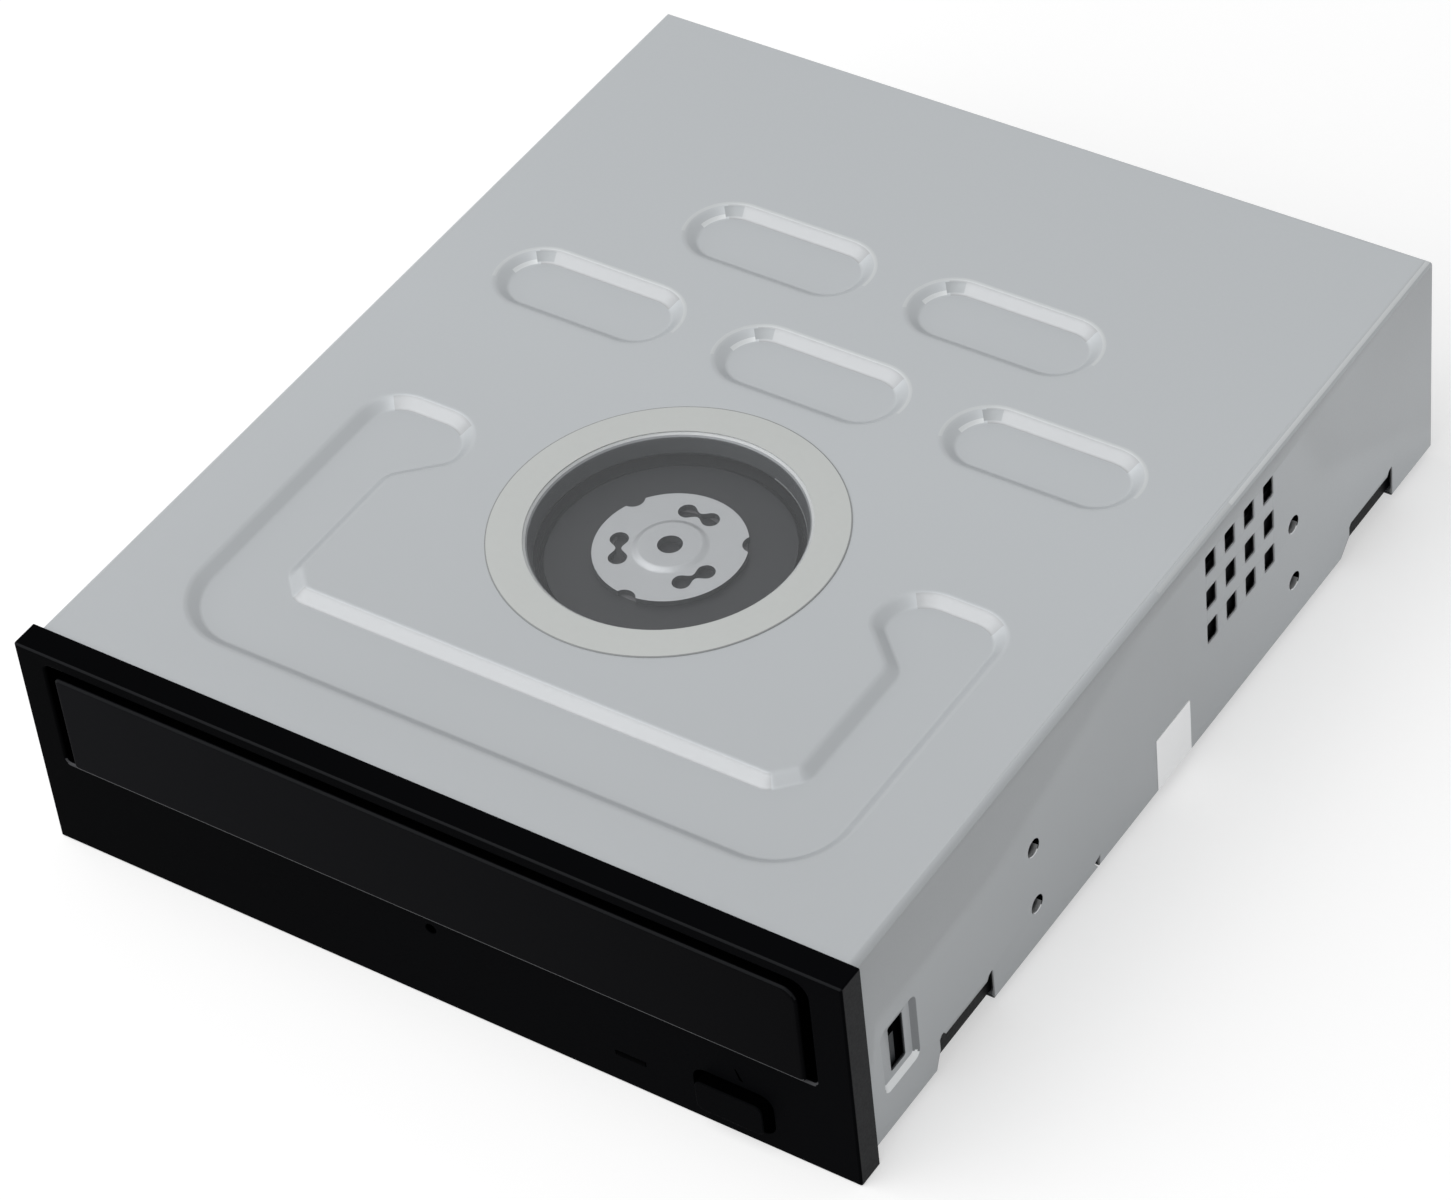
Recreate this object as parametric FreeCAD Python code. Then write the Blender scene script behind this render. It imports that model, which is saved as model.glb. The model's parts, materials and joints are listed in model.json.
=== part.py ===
import FreeCAD, Part
import math
import os

# A half-height internal disc drive with a sliding tray, closed, its disc mechanism raised.
# X is the width, with +X to the right as seen from the front. +Y runs from the front panel to the
# rear, and +Z is up. While the pieces are made, y = 0 is the back face of the front panel and z = 0
# is the base that the drive stands on. The origin then moves to the middle of the base.
# All sizes are in millimetres.

# Case
body_width = 146.05
body_depth = 172.7
body_top = 41.4
sheet = 0.8
top_bend = 1.2
foot_z = 1.7
foot_width = 6.6

# Gaps between pieces
fit_gap = 0.3
slide_gap = 0.1
shaft_gap = 0.05
move_gap = 0.5

# How far joined shapes run into each other, and how far cutters run past a face
lap = 0.1
over = 1.0

# Mounting holes, in a standard pattern
side_hole_r = 1.5
bottom_hole_r = 1.5
first_row_y = 47.4
row_pitch = 79.25
low_hole_z = 9.9
hole_pitch_z = 11.94
bottom_pitch_x = 139.7

# Front panel and the tray door
panel_overhang = 1.125
panel_height = 41.8
panel_depth = 4.8
panel_wall = 2.5
panel_rim = 1.8
panel_edge_r = 0.7
slot_wall = 1.5
inner_wall_start = 1.0
small_round = 0.5
slot_margin = 5.3
slot_low_z = 18.8
slot_top_z = 39.5
slot_corner_r = 2.0
door_side_gap = 2.25
door_low_z = 19.0
door_top_z = 38.1
door_proud = 0.7
door_depth = 2.9
door_corner_r = 2.8

# Eject button, indicator window and emergency hole in the front panel
button_inset = 21.3
button_z = 6.85
button_width = 11.7
button_height = 6.0
button_proud = 1.5
button_corner_r = 1.2
button_travel = 0.8
button_gap = 1.1
button_flange = 1.8
flange_thick = 1.2
stem_size = 3.6
stem_rear_y = 3.6
stem_guide_wall = 1.4
stem_guide_rear_y = 1.6
window_to_button = 18.2
window_z = 6.4
window_width = 5.4
window_height = 1.0
pin_hole_r = 0.95
pin_hole_z = 16.4

# Disc mechanism heights and centre
spindle_y = 63.2
disc_seat_z = 29.8
disc_thick = 1.2
disc_r = 60.0
small_disc_r = 40.0
disc_play = 0.75

# Tray
tray_front_y = -0.6
tray_rear_gap = 4.0
tray_low_z = 25.8
tray_top_z = 30.4
well_floor_z = 27.8
small_well_floor_z = 27.0
pocket_x = 41.0
pocket_half = 16.0
pocket_front_wall = 6.0
pocket_rear_wall = 3.0
tray_slot_width = 39.0
tray_edge_low_z = 23.5
tray_edge_width = 3.5
tray_front_thick = 2.0
tray_front_low_z = 20.0
tray_front_top_z = 36.8
tray_travel = 132.0
guide_width = 3.925

# Loader frame
frame_wall = 2.0
frame_front_y = 13.5
frame_rear_space = 4.7
deck_z = 14.0
deck_thick = 1.5
deck_front_y = 2.0
tray_switch_y = 26.5
tray_switch_size = 6.0
deck_to_cam = 2.9
rail_height = 1.8
rail_length_margin = 2.0
rail_front_margin = 1.0
rail_ledge = 3.2
rail_hook = 2.2
rail_hook_length = 8.0
rail_hook_ys = (6.0, 30.0, 100.0)
web_thick = 1.9
bay_width = 88.0
bridge_low_z = 33.7
bridge_thick = 1.2
bridge_length = 42.0
bridge_screw_inset = 3.3
bridge_screw_step = 12.0
bridge_seat_half = 5.0
bridge_rib_x = 26.0
bridge_rib_end_x = 64.0
bridge_rib_inset = 3.0
bridge_rib_thick = 1.4
bridge_rib_height = 2.0

# Loading gears: gear module, teeth and heights
rack_module = 1.0
rack_teeth_gear = 24
gear_module = 0.7
big_gear_teeth = 44
pinion_teeth = 16
gear_backlash = 0.14
rack_inset = 19.5
rack_front_y = 7.0
rack_spare = 8.0
drive_gear_y = 20.0
pinion_angle = 12.4
gear_shaft_r = 1.5
gear_shoulder_r = 2.4
belt_size = 1.2
belt_z = 17.3
pulley_height = 2.6
pulley_r = 9.0
pulley_rim = 1.0
motor_pulley_r = 2.6
motor_inset = 12.5
motor_y = 19.5
motor_r = 11.5
motor_height = 10.4
motor_flat_half = 9.4
motor_shaft_r = 1.0

# Cam slider and the traverse that it lifts
cam_travel = 20.0
spindle_drop = 6.0
pivot_to_frame_rear = 22.0
pivot_z = 18.0
pivot_r = 2.0
boss_width = 6.0
boss_half = 4.0
boss_height = 3.6
cam_to_holder = 3.1
cam_wall = 2.2
cam_pin_r = 1.5
cam_pin_x = 16.0
cam_end = 4.0
cam_foot = 4.6
cam_foot_thick = 1.4
cam_stop_half = 2.5
holder_to_spindle = 20.2
holder_past_pivot = 3.0
holder_side_gap = 2.0
holder_beam = 5.5
holder_low_z = 15.5
holder_height = 5.0
plate_z = 19.2
plate_thick = 1.2
plate_margin = 6.5
plate_rear_margin = 8.0
window_half = 28.5
sled_window_to_spindle = 12.1
sled_window_margin = 2.5
damper_r = 3.4
damper_height = 1.8
damper_margin = 3.5
damper_end_margin = 4.5
traverse_screw_r = 1.0
lug_half = 4.5
lug_reach = 4.0
hanger_half = 2.4
clip_half = 2.8
clip_cap = 1.2

# Spindle and clamp
shaft_r = 1.25
bearing_r = 3.4
stator_teeth = 9
stator_tooth_half = 1.1
stator_height = 2.2
turntable_r = 14.6
turntable_thick = 2.8
hub_r = 7.4
hub_height = 2.2
rotor_r = 11.5
rotor_height = 5.0
rotor_wall = 1.2
rotor_top = 0.8
pad_width = 3.6
pad_thick = 0.3
puck_r = 16.0
puck_flange_r = 19.6
puck_flange_z = 35.2
puck_top_z = 36.75
stator_base_half = 16.0
stator_base_front = 14.0
stator_base_rear = 9.0
stator_base_r = 1.5
stator_base_thick = 0.8
yoke_r = 12.15
yoke_thick = 1.0
yoke_hole_r = 2.0
yoke_boss_r = 6.2
yoke_boss_rise = 0.5
yoke_window_x = 8.0
yoke_window_end = 1.3
yoke_window_waist = 0.5
yoke_window_half = 3.5
yoke_waist_half = 1.2
yoke_nick_r = 1.9
yoke_nick_out = 0.8
magnet_r = 11.8
magnet_width = 2.6
magnet_height = 2.8
film_hole_r = 22.4
film_r = 28.2
film_thick = 0.15

# Pickup
rod_r = 1.5
rod_x = 24.0
rod_z = 22.4
rod_to_spindle = 5.3
rod_end_margin = 0.5
lens_start = 24.0
sled_length = 22.0
sled_to_spindle = 13.2
sled_low_z = 15.2
sled_top_z = 24.4
sled_half = 21.0
sleeve_wall = 1.2
sleeve_length = 6.0
nut_y = 8.0
nut_length = 6.0
lens_well_depth = 5.5
lens_well_r = 9.3
lens_well_half_x = 13.5
lens_well_half_y = 6.3
holder_half_x = 6.0
holder_half_y = 5.0
coil_reach = 3.0
magnet_gap_x = 0.4
magnet_thick = 3.0
magnet_half_y = 4.0
lens_dome_r = 5.2
lens_r = 2.6
lens_below_disc = 1.4
screw_x = 30.5
screw_z = 14.4
screw_r = 1.5
screw_lead = 3.0
sled_motor_r = 4.5
sled_motor_length = 10.0
sled_motor_nose = 0.8
screw_groove = 0.8
screw_groove_depth = 0.35
sled_motor_to_spindle = -2.7

# Bottom cover screws, in raised seats
cover_screw_inset = 4.9
cover_screw_r = 1.4
seat_rise = 1.9
seat_r = 4.6
seat_hole_r = 1.7
cover_screw_front_y = 36.0
cover_screw_to_board = 8.0

# Air slots in the bottom cover
floor_slots = 9
floor_slot_pitch = 9.0
floor_slot_width = 4.0
floor_slot_y = 96.0
floor_slot_length = 28.0

# Main board and rear connectors
board_z = 2.2
board_thick = 1.6
board_rear_gap = 1.4
board_length = 87.3
board_hole_r = 1.6
capacitor_r = 2.0
capacitor_height = 5.4
capacitor_pitch = 6.0
capacitor_row_pitch = 7.0
capacitor_inset = 8.825
capacitors_ahead = 45.3
front_capacitor_inset = 12.825
front_capacitors_ahead = 71.3
board_screw_inset = 3.8
board_screw_front = 6.0
board_screw_rear = 15.3
board_screw_r = 1.0
board_post_r = 2.8
connector_gap = 4.7
connector_rear_gap = 0.2
header_width = 58.2
header_height = 9.2
header_depth = 11.5
header_wall = 1.3
header_floor = 2.6
header_key_half = 2.3
header_key_depth = 6.0
header_pins = 20
pin_pitch = 2.54
pin_size = 0.64
power_inset = 0.6
power_width = 22.4
power_height = 9.6
power_depth = 12.5
power_wall = 1.1
power_bevel = 2.4
power_pitch = 5.08
power_pin_r = 1.05
jumper_to_header = 38.5
audio_to_jumper = 14.5
audio_pins = 4
audio_side = 1.6
audio_height = 6.4
audio_depth = 9.0
audio_wall = 0.8
audio_floor = 2.2
jumper_depth = 2.5
jumper_inset = 5.9
pin_tail = 0.6
ribbon_inset = 22.825
ribbon_width = 12.0
ribbon_thick = 0.3
ribbon_low_z = 1.4
ribbon_start_z = 6.0

# Front board with the indicator and the eject switch
front_board_y = 9.5
front_board_thick = 1.2
front_board_z = 3.0
front_board_reach_in = 7.65
front_board_reach_out = 11.15
led_half_x = 1.6
led_half_z = 0.9
led_depth = 1.6
switch_half = 3.0
switch_depth = 3.4
plunger_r = 1.7
tray_switch_inset = 9.5
tray_switch_height = 3.6
rear_split_z = 16.6

# Raised and sunk shapes in the case
emboss_depth = 1.6
emboss_slope = 2.2
dimple_length = 33.4
dimple_width = 14.2
dimple_rear_y = 127.3
dimple_front_y = 103.6
dimple_pitch_x = 42.3
channel_margin = 14.225
channel_front_y = 10.3
channel_rear_y = 70.3
channel_corner_r = 12.5
channel_rear_r = 7.0
channel_bend_r = 3.0
channel_arm = 13.2
channel_inner_y = 26.2
hook_length = 20.8
hook_width = 9.7
hook_slant = 7.2
hook_rear_r = 7.6
hook_low_r = 4.4
island_chamfer = 3.5
island_chamfer_r = 1.5
vent_columns = 4
vent_rows = 3
vent_length = 3.1
vent_height = 3.9
vent_pitch_y = 6.0
vent_pitch_z = 7.0
vent_first_y = 99.3
vent_first_z = 19.2
latch_hole_y = 6.6
latch_hole_length = 3.4
latch_hole_z = 13.1
latch_hole_height = 8.6
latch_pad_depth = 0.7
latch_pad_y = 3.9
latch_pad_length = 8.7
latch_pad_z = 10.2
latch_pad_height = 12.6
latch_pad_slope = 1.2
latch_thick = 1.0
latch_pad_r = 1.6
latch_ramp = 0.9
latch_to_frame = 1.3
notch_top_z = 7.1
front_notch_y = 19.2
front_notch_length = 15.2
rear_notch_to_rear = 28.0
rear_notch_length = 14.6
notch_slant = 1.7
notch_nick = 0.9
notch_nick_length = 1.2
notch_nick_slope = 0.8
notch_slant_height = 3.5
label_y = 82.9
label_length = 10.3
label_height = 11.0
label_thick = 0.12

# Places worked out from the sizes above
half_body = body_width / 2
frame_half = half_body - sheet - fit_gap
bottom_half = half_body - foot_width - move_gap
panel_width = body_width + 2 * panel_overhang
slot_width = panel_width - 2 * slot_margin
door_width = slot_width - 2 * door_side_gap
button_x = panel_width / 2 - button_inset
window_x = button_x - window_to_button
channel_half = half_body - channel_margin
hook_reach_x = channel_half - hook_length
rear_notch_y = body_depth - rear_notch_to_rear
frame_rear_y = body_depth - frame_rear_space
tray_rear_y = frame_rear_y - tray_rear_gap
holder_width = bay_width - 2 * holder_side_gap
holder_front_y = spindle_y - holder_to_spindle
cam_y = holder_front_y - cam_to_holder
deck_rear_y = cam_y - deck_to_cam
pivot_y = frame_rear_y - pivot_to_frame_rear
holder_rear_y = pivot_y + holder_past_pivot
plate_width = holder_width - 2 * plate_margin
plate_front_y = holder_front_y + plate_margin
plate_rear_y = pivot_y - plate_rear_margin
sled_window_front_y = spindle_y + sled_window_to_spindle
sled_window_rear_y = plate_rear_y - sled_window_margin
damper_x = plate_width / 2 - damper_margin
damper_front_y = plate_front_y + damper_end_margin
damper_rear_y = plate_rear_y - damper_end_margin - move_gap
rod_front_y = spindle_y + rod_to_spindle
rod_rear_y = plate_rear_y - rod_end_margin
sled_front_y = spindle_y + sled_to_spindle
sled_motor_y = spindle_y + sled_motor_to_spindle
lens_top_z = disc_seat_z - lens_below_disc
puck_low_z = disc_seat_z + disc_thick
deck_top_z = deck_z + deck_thick
tray_half = frame_half - frame_wall - guide_width - move_gap
slot_half = tray_slot_width / 2
rail_half = tray_half + move_gap
front_y = -(panel_depth + button_proud)
connector_rear_y = body_depth - connector_rear_gap
origin_y = (front_y + body_depth) / 2
drive_gear_r = rack_module * rack_teeth_gear / 2
rack_pitch_x = rack_inset - tray_half
rack_rear_y = drive_gear_y + tray_travel + rack_spare
motor_x = motor_inset - tray_half
drive_gear_x = rack_pitch_x + drive_gear_r
big_gear_r = gear_module * big_gear_teeth / 2
pinion_r = gear_module * pinion_teeth / 2
pinion_x = drive_gear_x + (big_gear_r + pinion_r) * math.cos(math.radians(pinion_angle))
pinion_y = drive_gear_y + (big_gear_r + pinion_r) * math.sin(math.radians(pinion_angle))
big_gear_z = belt_z + pulley_height / 2 + 0.5
big_gear_height = 2.6
rack_gear_z = big_gear_z + big_gear_height + 0.2
rack_gear_height = 3.3
pivot_reach = pivot_y - spindle_y
tilt = math.atan(spindle_drop / pivot_reach)
pin_reach = pivot_y - holder_front_y
pin_drop = pin_reach * math.sin(tilt)
plate_top_z = plate_z + plate_thick
turntable_z = disc_seat_z - turntable_thick
rotor_z = turntable_z - rotor_height - 0.2
lens_y = spindle_y + lens_start
hanger_rear_y = damper_rear_y - lug_half - fit_gap - hanger_half
bridge_top_z = bridge_low_z + bridge_thick
board_top_z = board_z + board_thick
board_half = bottom_half - sheet - fit_gap
board_rear_y = body_depth - board_rear_gap
board_front_y = board_rear_y - board_length
ribbon_x = board_half - ribbon_inset
board_screw_x = board_half - board_screw_inset
cover_screw_x = bottom_half - cover_screw_inset
power_x = power_width / 2 + power_inset - board_half
header_x = power_x + power_width / 2 + connector_gap + header_width / 2
jumper_x = header_x + jumper_to_header
audio_x = jumper_x + audio_to_jumper
cover_screw_places = [(side * cover_screw_x, y) for side in (-1, 1)
                      for y in (cover_screw_front_y, board_front_y - cover_screw_to_board)]
bridge_screw_places = [(side * (frame_half - bridge_screw_inset), spindle_y + step)
                       for side in (-1, 1) for step in (-bridge_screw_step, bridge_screw_step)]
board_screw_places = [(side * board_screw_x, y) for side in (-1, 1)
                      for y in (board_front_y + board_screw_front, board_rear_y - board_screw_rear)]
damper_places = [(side * damper_x, y) for side in (-1, 1) for y in (damper_front_y, damper_rear_y)]

X_AXIS = FreeCAD.Vector(1, 0, 0)
Y_AXIS = FreeCAD.Vector(0, 1, 0)
Z_AXIS = FreeCAD.Vector(0, 0, 1)


def point(x, y, z=0.0):
    return FreeCAD.Vector(x, y, z)


def box(x0, x1, y0, y1, z0, z1):
    return Part.makeBox(x1 - x0, y1 - y0, z1 - z0, point(x0, y0, z0))


def both_sides(x0, x1, y0, y1, z0, z1):
    return [box(x0, x1, y0, y1, z0, z1), box(-x1, -x0, y0, y1, z0, z1)]


def post(x, y, z0, z1, radius):
    return Part.makeCylinder(radius, z1 - z0, point(x, y, z0), Z_AXIS)


def ring(x, y, z0, z1, outer_r, inner_r):
    return post(x, y, z0, z1, outer_r).cut(post(x, y, z0 - over, z1 + over, inner_r))


def rod_along_y(x, z, y0, y1, radius):
    return Part.makeCylinder(radius, y1 - y0, point(x, y0, z), Y_AXIS)


def rod_along_x(y, z, x0, x1, radius):
    return Part.makeCylinder(radius, x1 - x0, point(x0, y, z), X_AXIS)


def join(shapes):
    shapes = list(shapes)
    return shapes[0].multiFuse(shapes[1:]).removeSplitter() if len(shapes) > 1 else shapes[0]


def carve(shape, cutters):
    return shape.cut(Part.makeCompound(list(cutters)))


def group(shapes):
    return Part.makeCompound(list(shapes))


def outline(corners, inset, z):
    """Closed wire round corners given as (x, y, radius), anticlockwise, drawn in by inset."""
    count = len(corners)
    edges = []
    lines = []
    for i in range(count):
        x0, y0, _ = corners[i]
        x1, y1, _ = corners[(i + 1) % count]
        length = math.hypot(x1 - x0, y1 - y0)
        ux, uy = (x1 - x0) / length, (y1 - y0) / length
        lines.append((x0 - uy * inset, y0 + ux * inset, ux, uy))
    turns = []
    for i in range(count):
        ax, ay, aux, auy = lines[i - 1]
        bx, by, bux, buy = lines[i]
        cross = aux * buy - auy * bux
        step = ((bx - ax) * buy - (by - ay) * bux) / cross
        cx, cy = ax + aux * step, ay + auy * step
        radius = max(corners[i][2] + (-inset if cross > 0 else inset), 0.0)
        if corners[i][2] == 0:
            radius = 0.0
        half_turn = math.acos(max(-1.0, min(1.0, aux * bux + auy * buy))) / 2
        cut_back = radius * math.tan(half_turn)
        start = point(cx - aux * cut_back, cy - auy * cut_back, z)
        end = point(cx + bux * cut_back, cy + buy * cut_back, z)
        bulge_x, bulge_y = bux - aux, buy - auy
        bulge = math.hypot(bulge_x, bulge_y)
        away = radius / math.cos(half_turn) - radius
        middle = point(cx + bulge_x / bulge * away, cy + bulge_y / bulge * away, z)
        turns.append((start, middle, end, radius))
    for i in range(count):
        start, middle, end, radius = turns[i]
        if radius > 0:
            edges.append(Part.Arc(start, middle, end).toShape())
        following = turns[(i + 1) % count][0]
        if end.distanceToPoint(following) > 1e-6:
            edges.append(Part.LineSegment(end, following).toShape())
    return Part.Wire(edges)


def slab(corners, z0, z1, inset=0.0):
    face = Part.Face(outline(corners, inset, z0))
    return face.extrude(point(0, 0, z1 - z0))


def tapered(corners, z_top, z_floor, slope):
    """Solid that narrows by slope from its outline at z_top down to z_floor."""
    return Part.makeLoft([outline(corners, 0, z_top), outline(corners, slope, z_floor)], True, True)


def rectangle(x0, x1, y0, y1, radius):
    return [(x0, y0, radius), (x1, y0, radius), (x1, y1, radius), (x0, y1, radius)]


def upright(x0, x1, z0, z1, y0, y1, radius):
    """Block with rounded corners in X and Z, running along Y from y0 to y1."""
    flat = slab(rectangle(x0, x1, z0, z1, radius), 0, y1 - y0)
    flat.rotate(point(0, 0), X_AXIS, 90)
    flat.translate(point(0, y1, 0))
    return flat


def gear(teeth, module, backlash, z0, height, turn=0.0):
    """Spur gear about the Z axis, with involute flanks that are thinned by the backlash."""
    pitch_r = module * teeth / 2
    base_r = pitch_r * math.cos(math.radians(20))
    root_r = pitch_r - 1.15 * module
    tip_r = pitch_r + 0.85 * module

    def involute(radius):
        alpha = math.acos(min(1.0, base_r / radius))
        return math.tan(alpha) - alpha

    half_tooth = math.pi / (2 * teeth) - backlash / 2 / pitch_r
    radii = [root_r, max(root_r + 0.2 * module, base_r * 1.001), pitch_r, tip_r]
    points = []
    for tooth in range(teeth):
        middle = turn + 2 * math.pi * tooth / teeth
        offsets = [half_tooth + involute(pitch_r) - involute(max(radius, base_r)) for radius in radii]
        for radius, offset in zip(radii, offsets):
            angle = middle - offset
            points.append(point(radius * math.cos(angle), radius * math.sin(angle), z0))
        for radius, offset in reversed(list(zip(radii, offsets))):
            angle = middle + offset
            points.append(point(radius * math.cos(angle), radius * math.sin(angle), z0))
    points.append(points[0])
    return Part.Face(Part.makePolygon(points)).extrude(point(0, 0, height))


def rack(pitch_x, y0, y1, module, backlash, back_x, z0, z1, phase_y):
    """Rack along Y whose teeth point to +X, with a tooth centred on phase_y."""
    pitch = math.pi * module
    slope = math.tan(math.radians(20))
    tip_x = pitch_x + 0.85 * module
    root_x = pitch_x - 1.15 * module
    half = pitch / 4 - backlash / 2
    half_tip = half - 0.85 * module * slope
    half_root = half + 1.15 * module * slope
    first = math.ceil((y0 + half_root - phase_y) / pitch)
    last = math.floor((y1 - half_root - phase_y) / pitch)
    points = [point(root_x, y0, z0)]
    for tooth in range(first, last + 1):
        y = phase_y + tooth * pitch
        points.append(point(root_x, y - half_root, z0))
        points.append(point(tip_x, y - half_tip, z0))
        points.append(point(tip_x, y + half_tip, z0))
        points.append(point(root_x, y + half_root, z0))
    points.append(point(root_x, y1, z0))
    points.append(point(back_x, y1, z0))
    points.append(point(back_x, y0, z0))
    points.append(points[0])
    return Part.Face(Part.makePolygon(points)).extrude(point(0, 0, z1 - z0))


def dimple_places():
    """Centres of the five stadium dimples in the case."""
    rear = [(side * dimple_pitch_x / 2, dimple_rear_y) for side in (-1, 1)]
    front = [(step * dimple_pitch_x, dimple_front_y) for step in (-1, 0, 1)]
    return rear + front


def dimple_corners(x, y):
    half = dimple_width / 2
    reach = dimple_length / 2
    return rectangle(x - reach, x + reach, y - half, y + half, half - 0.01)


def channel_corners():
    """U-shaped channel with a hooked end on each arm, anticlockwise from the front left."""
    arm_x = channel_half - channel_arm
    hook_low_y = channel_rear_y - hook_width
    right = [
        (channel_half, channel_front_y, channel_corner_r),
        (channel_half, channel_rear_y, channel_rear_r),
        (hook_reach_x, channel_rear_y, hook_rear_r),
        (hook_reach_x, hook_low_y, hook_low_r),
        (arm_x, hook_low_y - hook_slant, channel_bend_r),
        (arm_x, channel_inner_y + island_chamfer, island_chamfer_r),
        (arm_x - island_chamfer, channel_inner_y, island_chamfer_r),
    ]
    left = [(-x, y, radius) for x, y, radius in reversed(right)]
    return right + left


def sunk_shapes(z_top):
    shapes = [tapered(dimple_corners(x, y), z_top, z_top - emboss_depth, emboss_slope)
              for x, y in dimple_places()]
    shapes.append(tapered(channel_corners(), z_top, z_top - emboss_depth, emboss_slope))
    return shapes


def notch(y0, y1):
    """Cutter for the notch in the foot of both side walls, with a slanted front flank."""
    corners = [
        point(0, y0 - notch_slant, -1),
        point(0, y0, notch_top_z - notch_slant_height),
        point(0, y0, notch_top_z + notch_nick),
        point(0, y0 + notch_nick_length, notch_top_z + notch_nick),
        point(0, y0 + notch_nick_length + notch_nick_slope, notch_top_z),
        point(0, y1 - notch_nick_length - notch_nick_slope, notch_top_z),
        point(0, y1 - notch_nick_length, notch_top_z + notch_nick),
        point(0, y1, notch_top_z + notch_nick),
        point(0, y1, -1),
    ]
    face = Part.Face(Part.makePolygon(corners + [corners[0]]))
    right = face.extrude(point(foot_width + 2, 0, 0))
    left = right.copy()
    right.translate(point(half_body - foot_width - over, 0, 0))
    left.translate(point(-half_body - over, 0, 0))
    return [right, left]


def side_holes():
    holes = []
    for y in (first_row_y, first_row_y + row_pitch):
        for z in (low_hole_z, low_hole_z + hole_pitch_z):
            holes.append(rod_along_x(y, z, -half_body - over, -half_body + 2, side_hole_r))
            holes.append(rod_along_x(y, z, half_body - 2, half_body + over, side_hole_r))
    return holes


def bottom_holes(radius=bottom_hole_r, z0=-over, z1=foot_z + sheet + over):
    return [post(side * bottom_pitch_x / 2, y, z0, z1, radius)
            for side in (-1, 1) for y in (first_row_y, first_row_y + row_pitch)]


def vents():
    return [box(half_body - 2, half_body + over,
                vent_first_y + column * vent_pitch_y, vent_first_y + column * vent_pitch_y + vent_length,
                vent_first_z + row * vent_pitch_z, vent_first_z + row * vent_pitch_z + vent_height)
            for column in range(vent_columns) for row in range(vent_rows)]


def latch_pads(face_x):
    """Sunk pad round the latch hole of each side wall, measured from the wall's face."""
    corners = rectangle(latch_pad_y, latch_pad_y + latch_pad_length,
                        latch_pad_z, latch_pad_z + latch_pad_height, latch_pad_r)
    pad = tapered(corners, 0, -latch_pad_depth, latch_pad_slope)
    pad.rotate(point(0, 0), point(1, 1, 1), 120)
    pad.translate(point(face_x, 0))
    return [pad, pad.mirror(point(0, 0), X_AXIS)]


def make_top_cover():
    outer = box(-half_body, half_body, 0, body_depth, foot_z, body_top)
    bends = [edge for edge in outer.Edges
             if edge.BoundBox.ZMin > body_top - 0.01 and edge.BoundBox.YMax > 1]
    outer = outer.makeFillet(top_bend, bends)
    inner = box(-half_body + sheet, half_body - sheet, -over, body_depth - sheet,
                foot_z + sheet, body_top - sheet)
    under = box(-half_body + foot_width, half_body - foot_width, -over, body_depth + over,
                0, foot_z + sheet + over)
    rear_mouth = box(-half_body + sheet, half_body - sheet, body_depth - sheet - over, body_depth + over,
                     foot_z + sheet, rear_split_z)
    cover = carve(outer, [inner, under, rear_mouth])
    cover = join([cover] + sunk_shapes(body_top - sheet) + latch_pads(half_body - sheet))
    latch_holes = both_sides(half_body - 2, half_body + over, latch_hole_y, latch_hole_y + latch_hole_length,
                             latch_hole_z, latch_hole_z + latch_hole_height)
    cutters = sunk_shapes(body_top) + latch_pads(half_body)
    cutters += side_holes() + bottom_holes() + vents() + latch_holes
    cutters += notch(front_notch_y, front_notch_y + front_notch_length)
    cutters += notch(rear_notch_y, rear_notch_y + rear_notch_length)
    cutters.append(post(0, spindle_y, body_top - 6, body_top + over, film_hole_r))
    return carve(cover, cutters)


def make_dust_film():
    return post(0, spindle_y, body_top, body_top + film_thick, film_r)


def make_side_label():
    return box(half_body, half_body + label_thick, label_y, label_y + label_length,
               foot_z, foot_z + label_height)


def make_bottom_cover():
    floor = slab(rectangle(-bottom_half, bottom_half, 1.0, body_depth, 1.5), 0, sheet)
    lips = both_sides(bottom_half - sheet, bottom_half, 3.0, body_depth - 3, 0, foot_z + sheet)
    rear = box(-bottom_half, bottom_half, body_depth - sheet, body_depth, 0, rear_split_z - fit_gap)
    rear_wings = box(-frame_half, frame_half, body_depth - sheet, body_depth,
                     foot_z + sheet + fit_gap, rear_split_z - fit_gap)
    seats = [post(x, y, 0, seat_rise + sheet, seat_r) for x, y in cover_screw_places]
    pan = join([floor] + lips + [rear, rear_wings] + seats)
    cutters = [post(x, y, -over, seat_rise, seat_r - sheet) for x, y in cover_screw_places]
    cutters += [post(x, y, -over, seat_rise + sheet + over, seat_hole_r) for x, y in cover_screw_places]
    cutters += rear_mouths()
    first_x = -(floor_slots - 1) / 2 * floor_slot_pitch
    for index in range(floor_slots):
        x = first_x + floor_slot_pitch * index
        cutters.append(box(x - floor_slot_width / 2, x + floor_slot_width / 2,
                           floor_slot_y, floor_slot_y + floor_slot_length, -over, sheet + over))
    return carve(pan, cutters)


def rear_mouths():
    """Openings in the rear wall for the connectors, larger than each by the fit gap."""
    y0, y1 = body_depth - sheet - over, body_depth + over
    mouths = []
    for x, width, height in connector_faces():
        mouths.append(box(x - width / 2 - fit_gap, x + width / 2 + fit_gap, y0, y1,
                          board_top_z - fit_gap, board_top_z + height + fit_gap))
    return mouths


def connector_faces():
    """Middle, width and height of each connector's face in the rear wall."""
    return [
        (header_x, header_width, header_height),
        (power_x, power_width, power_height),
        (jumper_x, 3 * pin_pitch, 2 * pin_pitch),
        (audio_x, audio_pins * pin_pitch + audio_side, audio_height),
    ]


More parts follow.
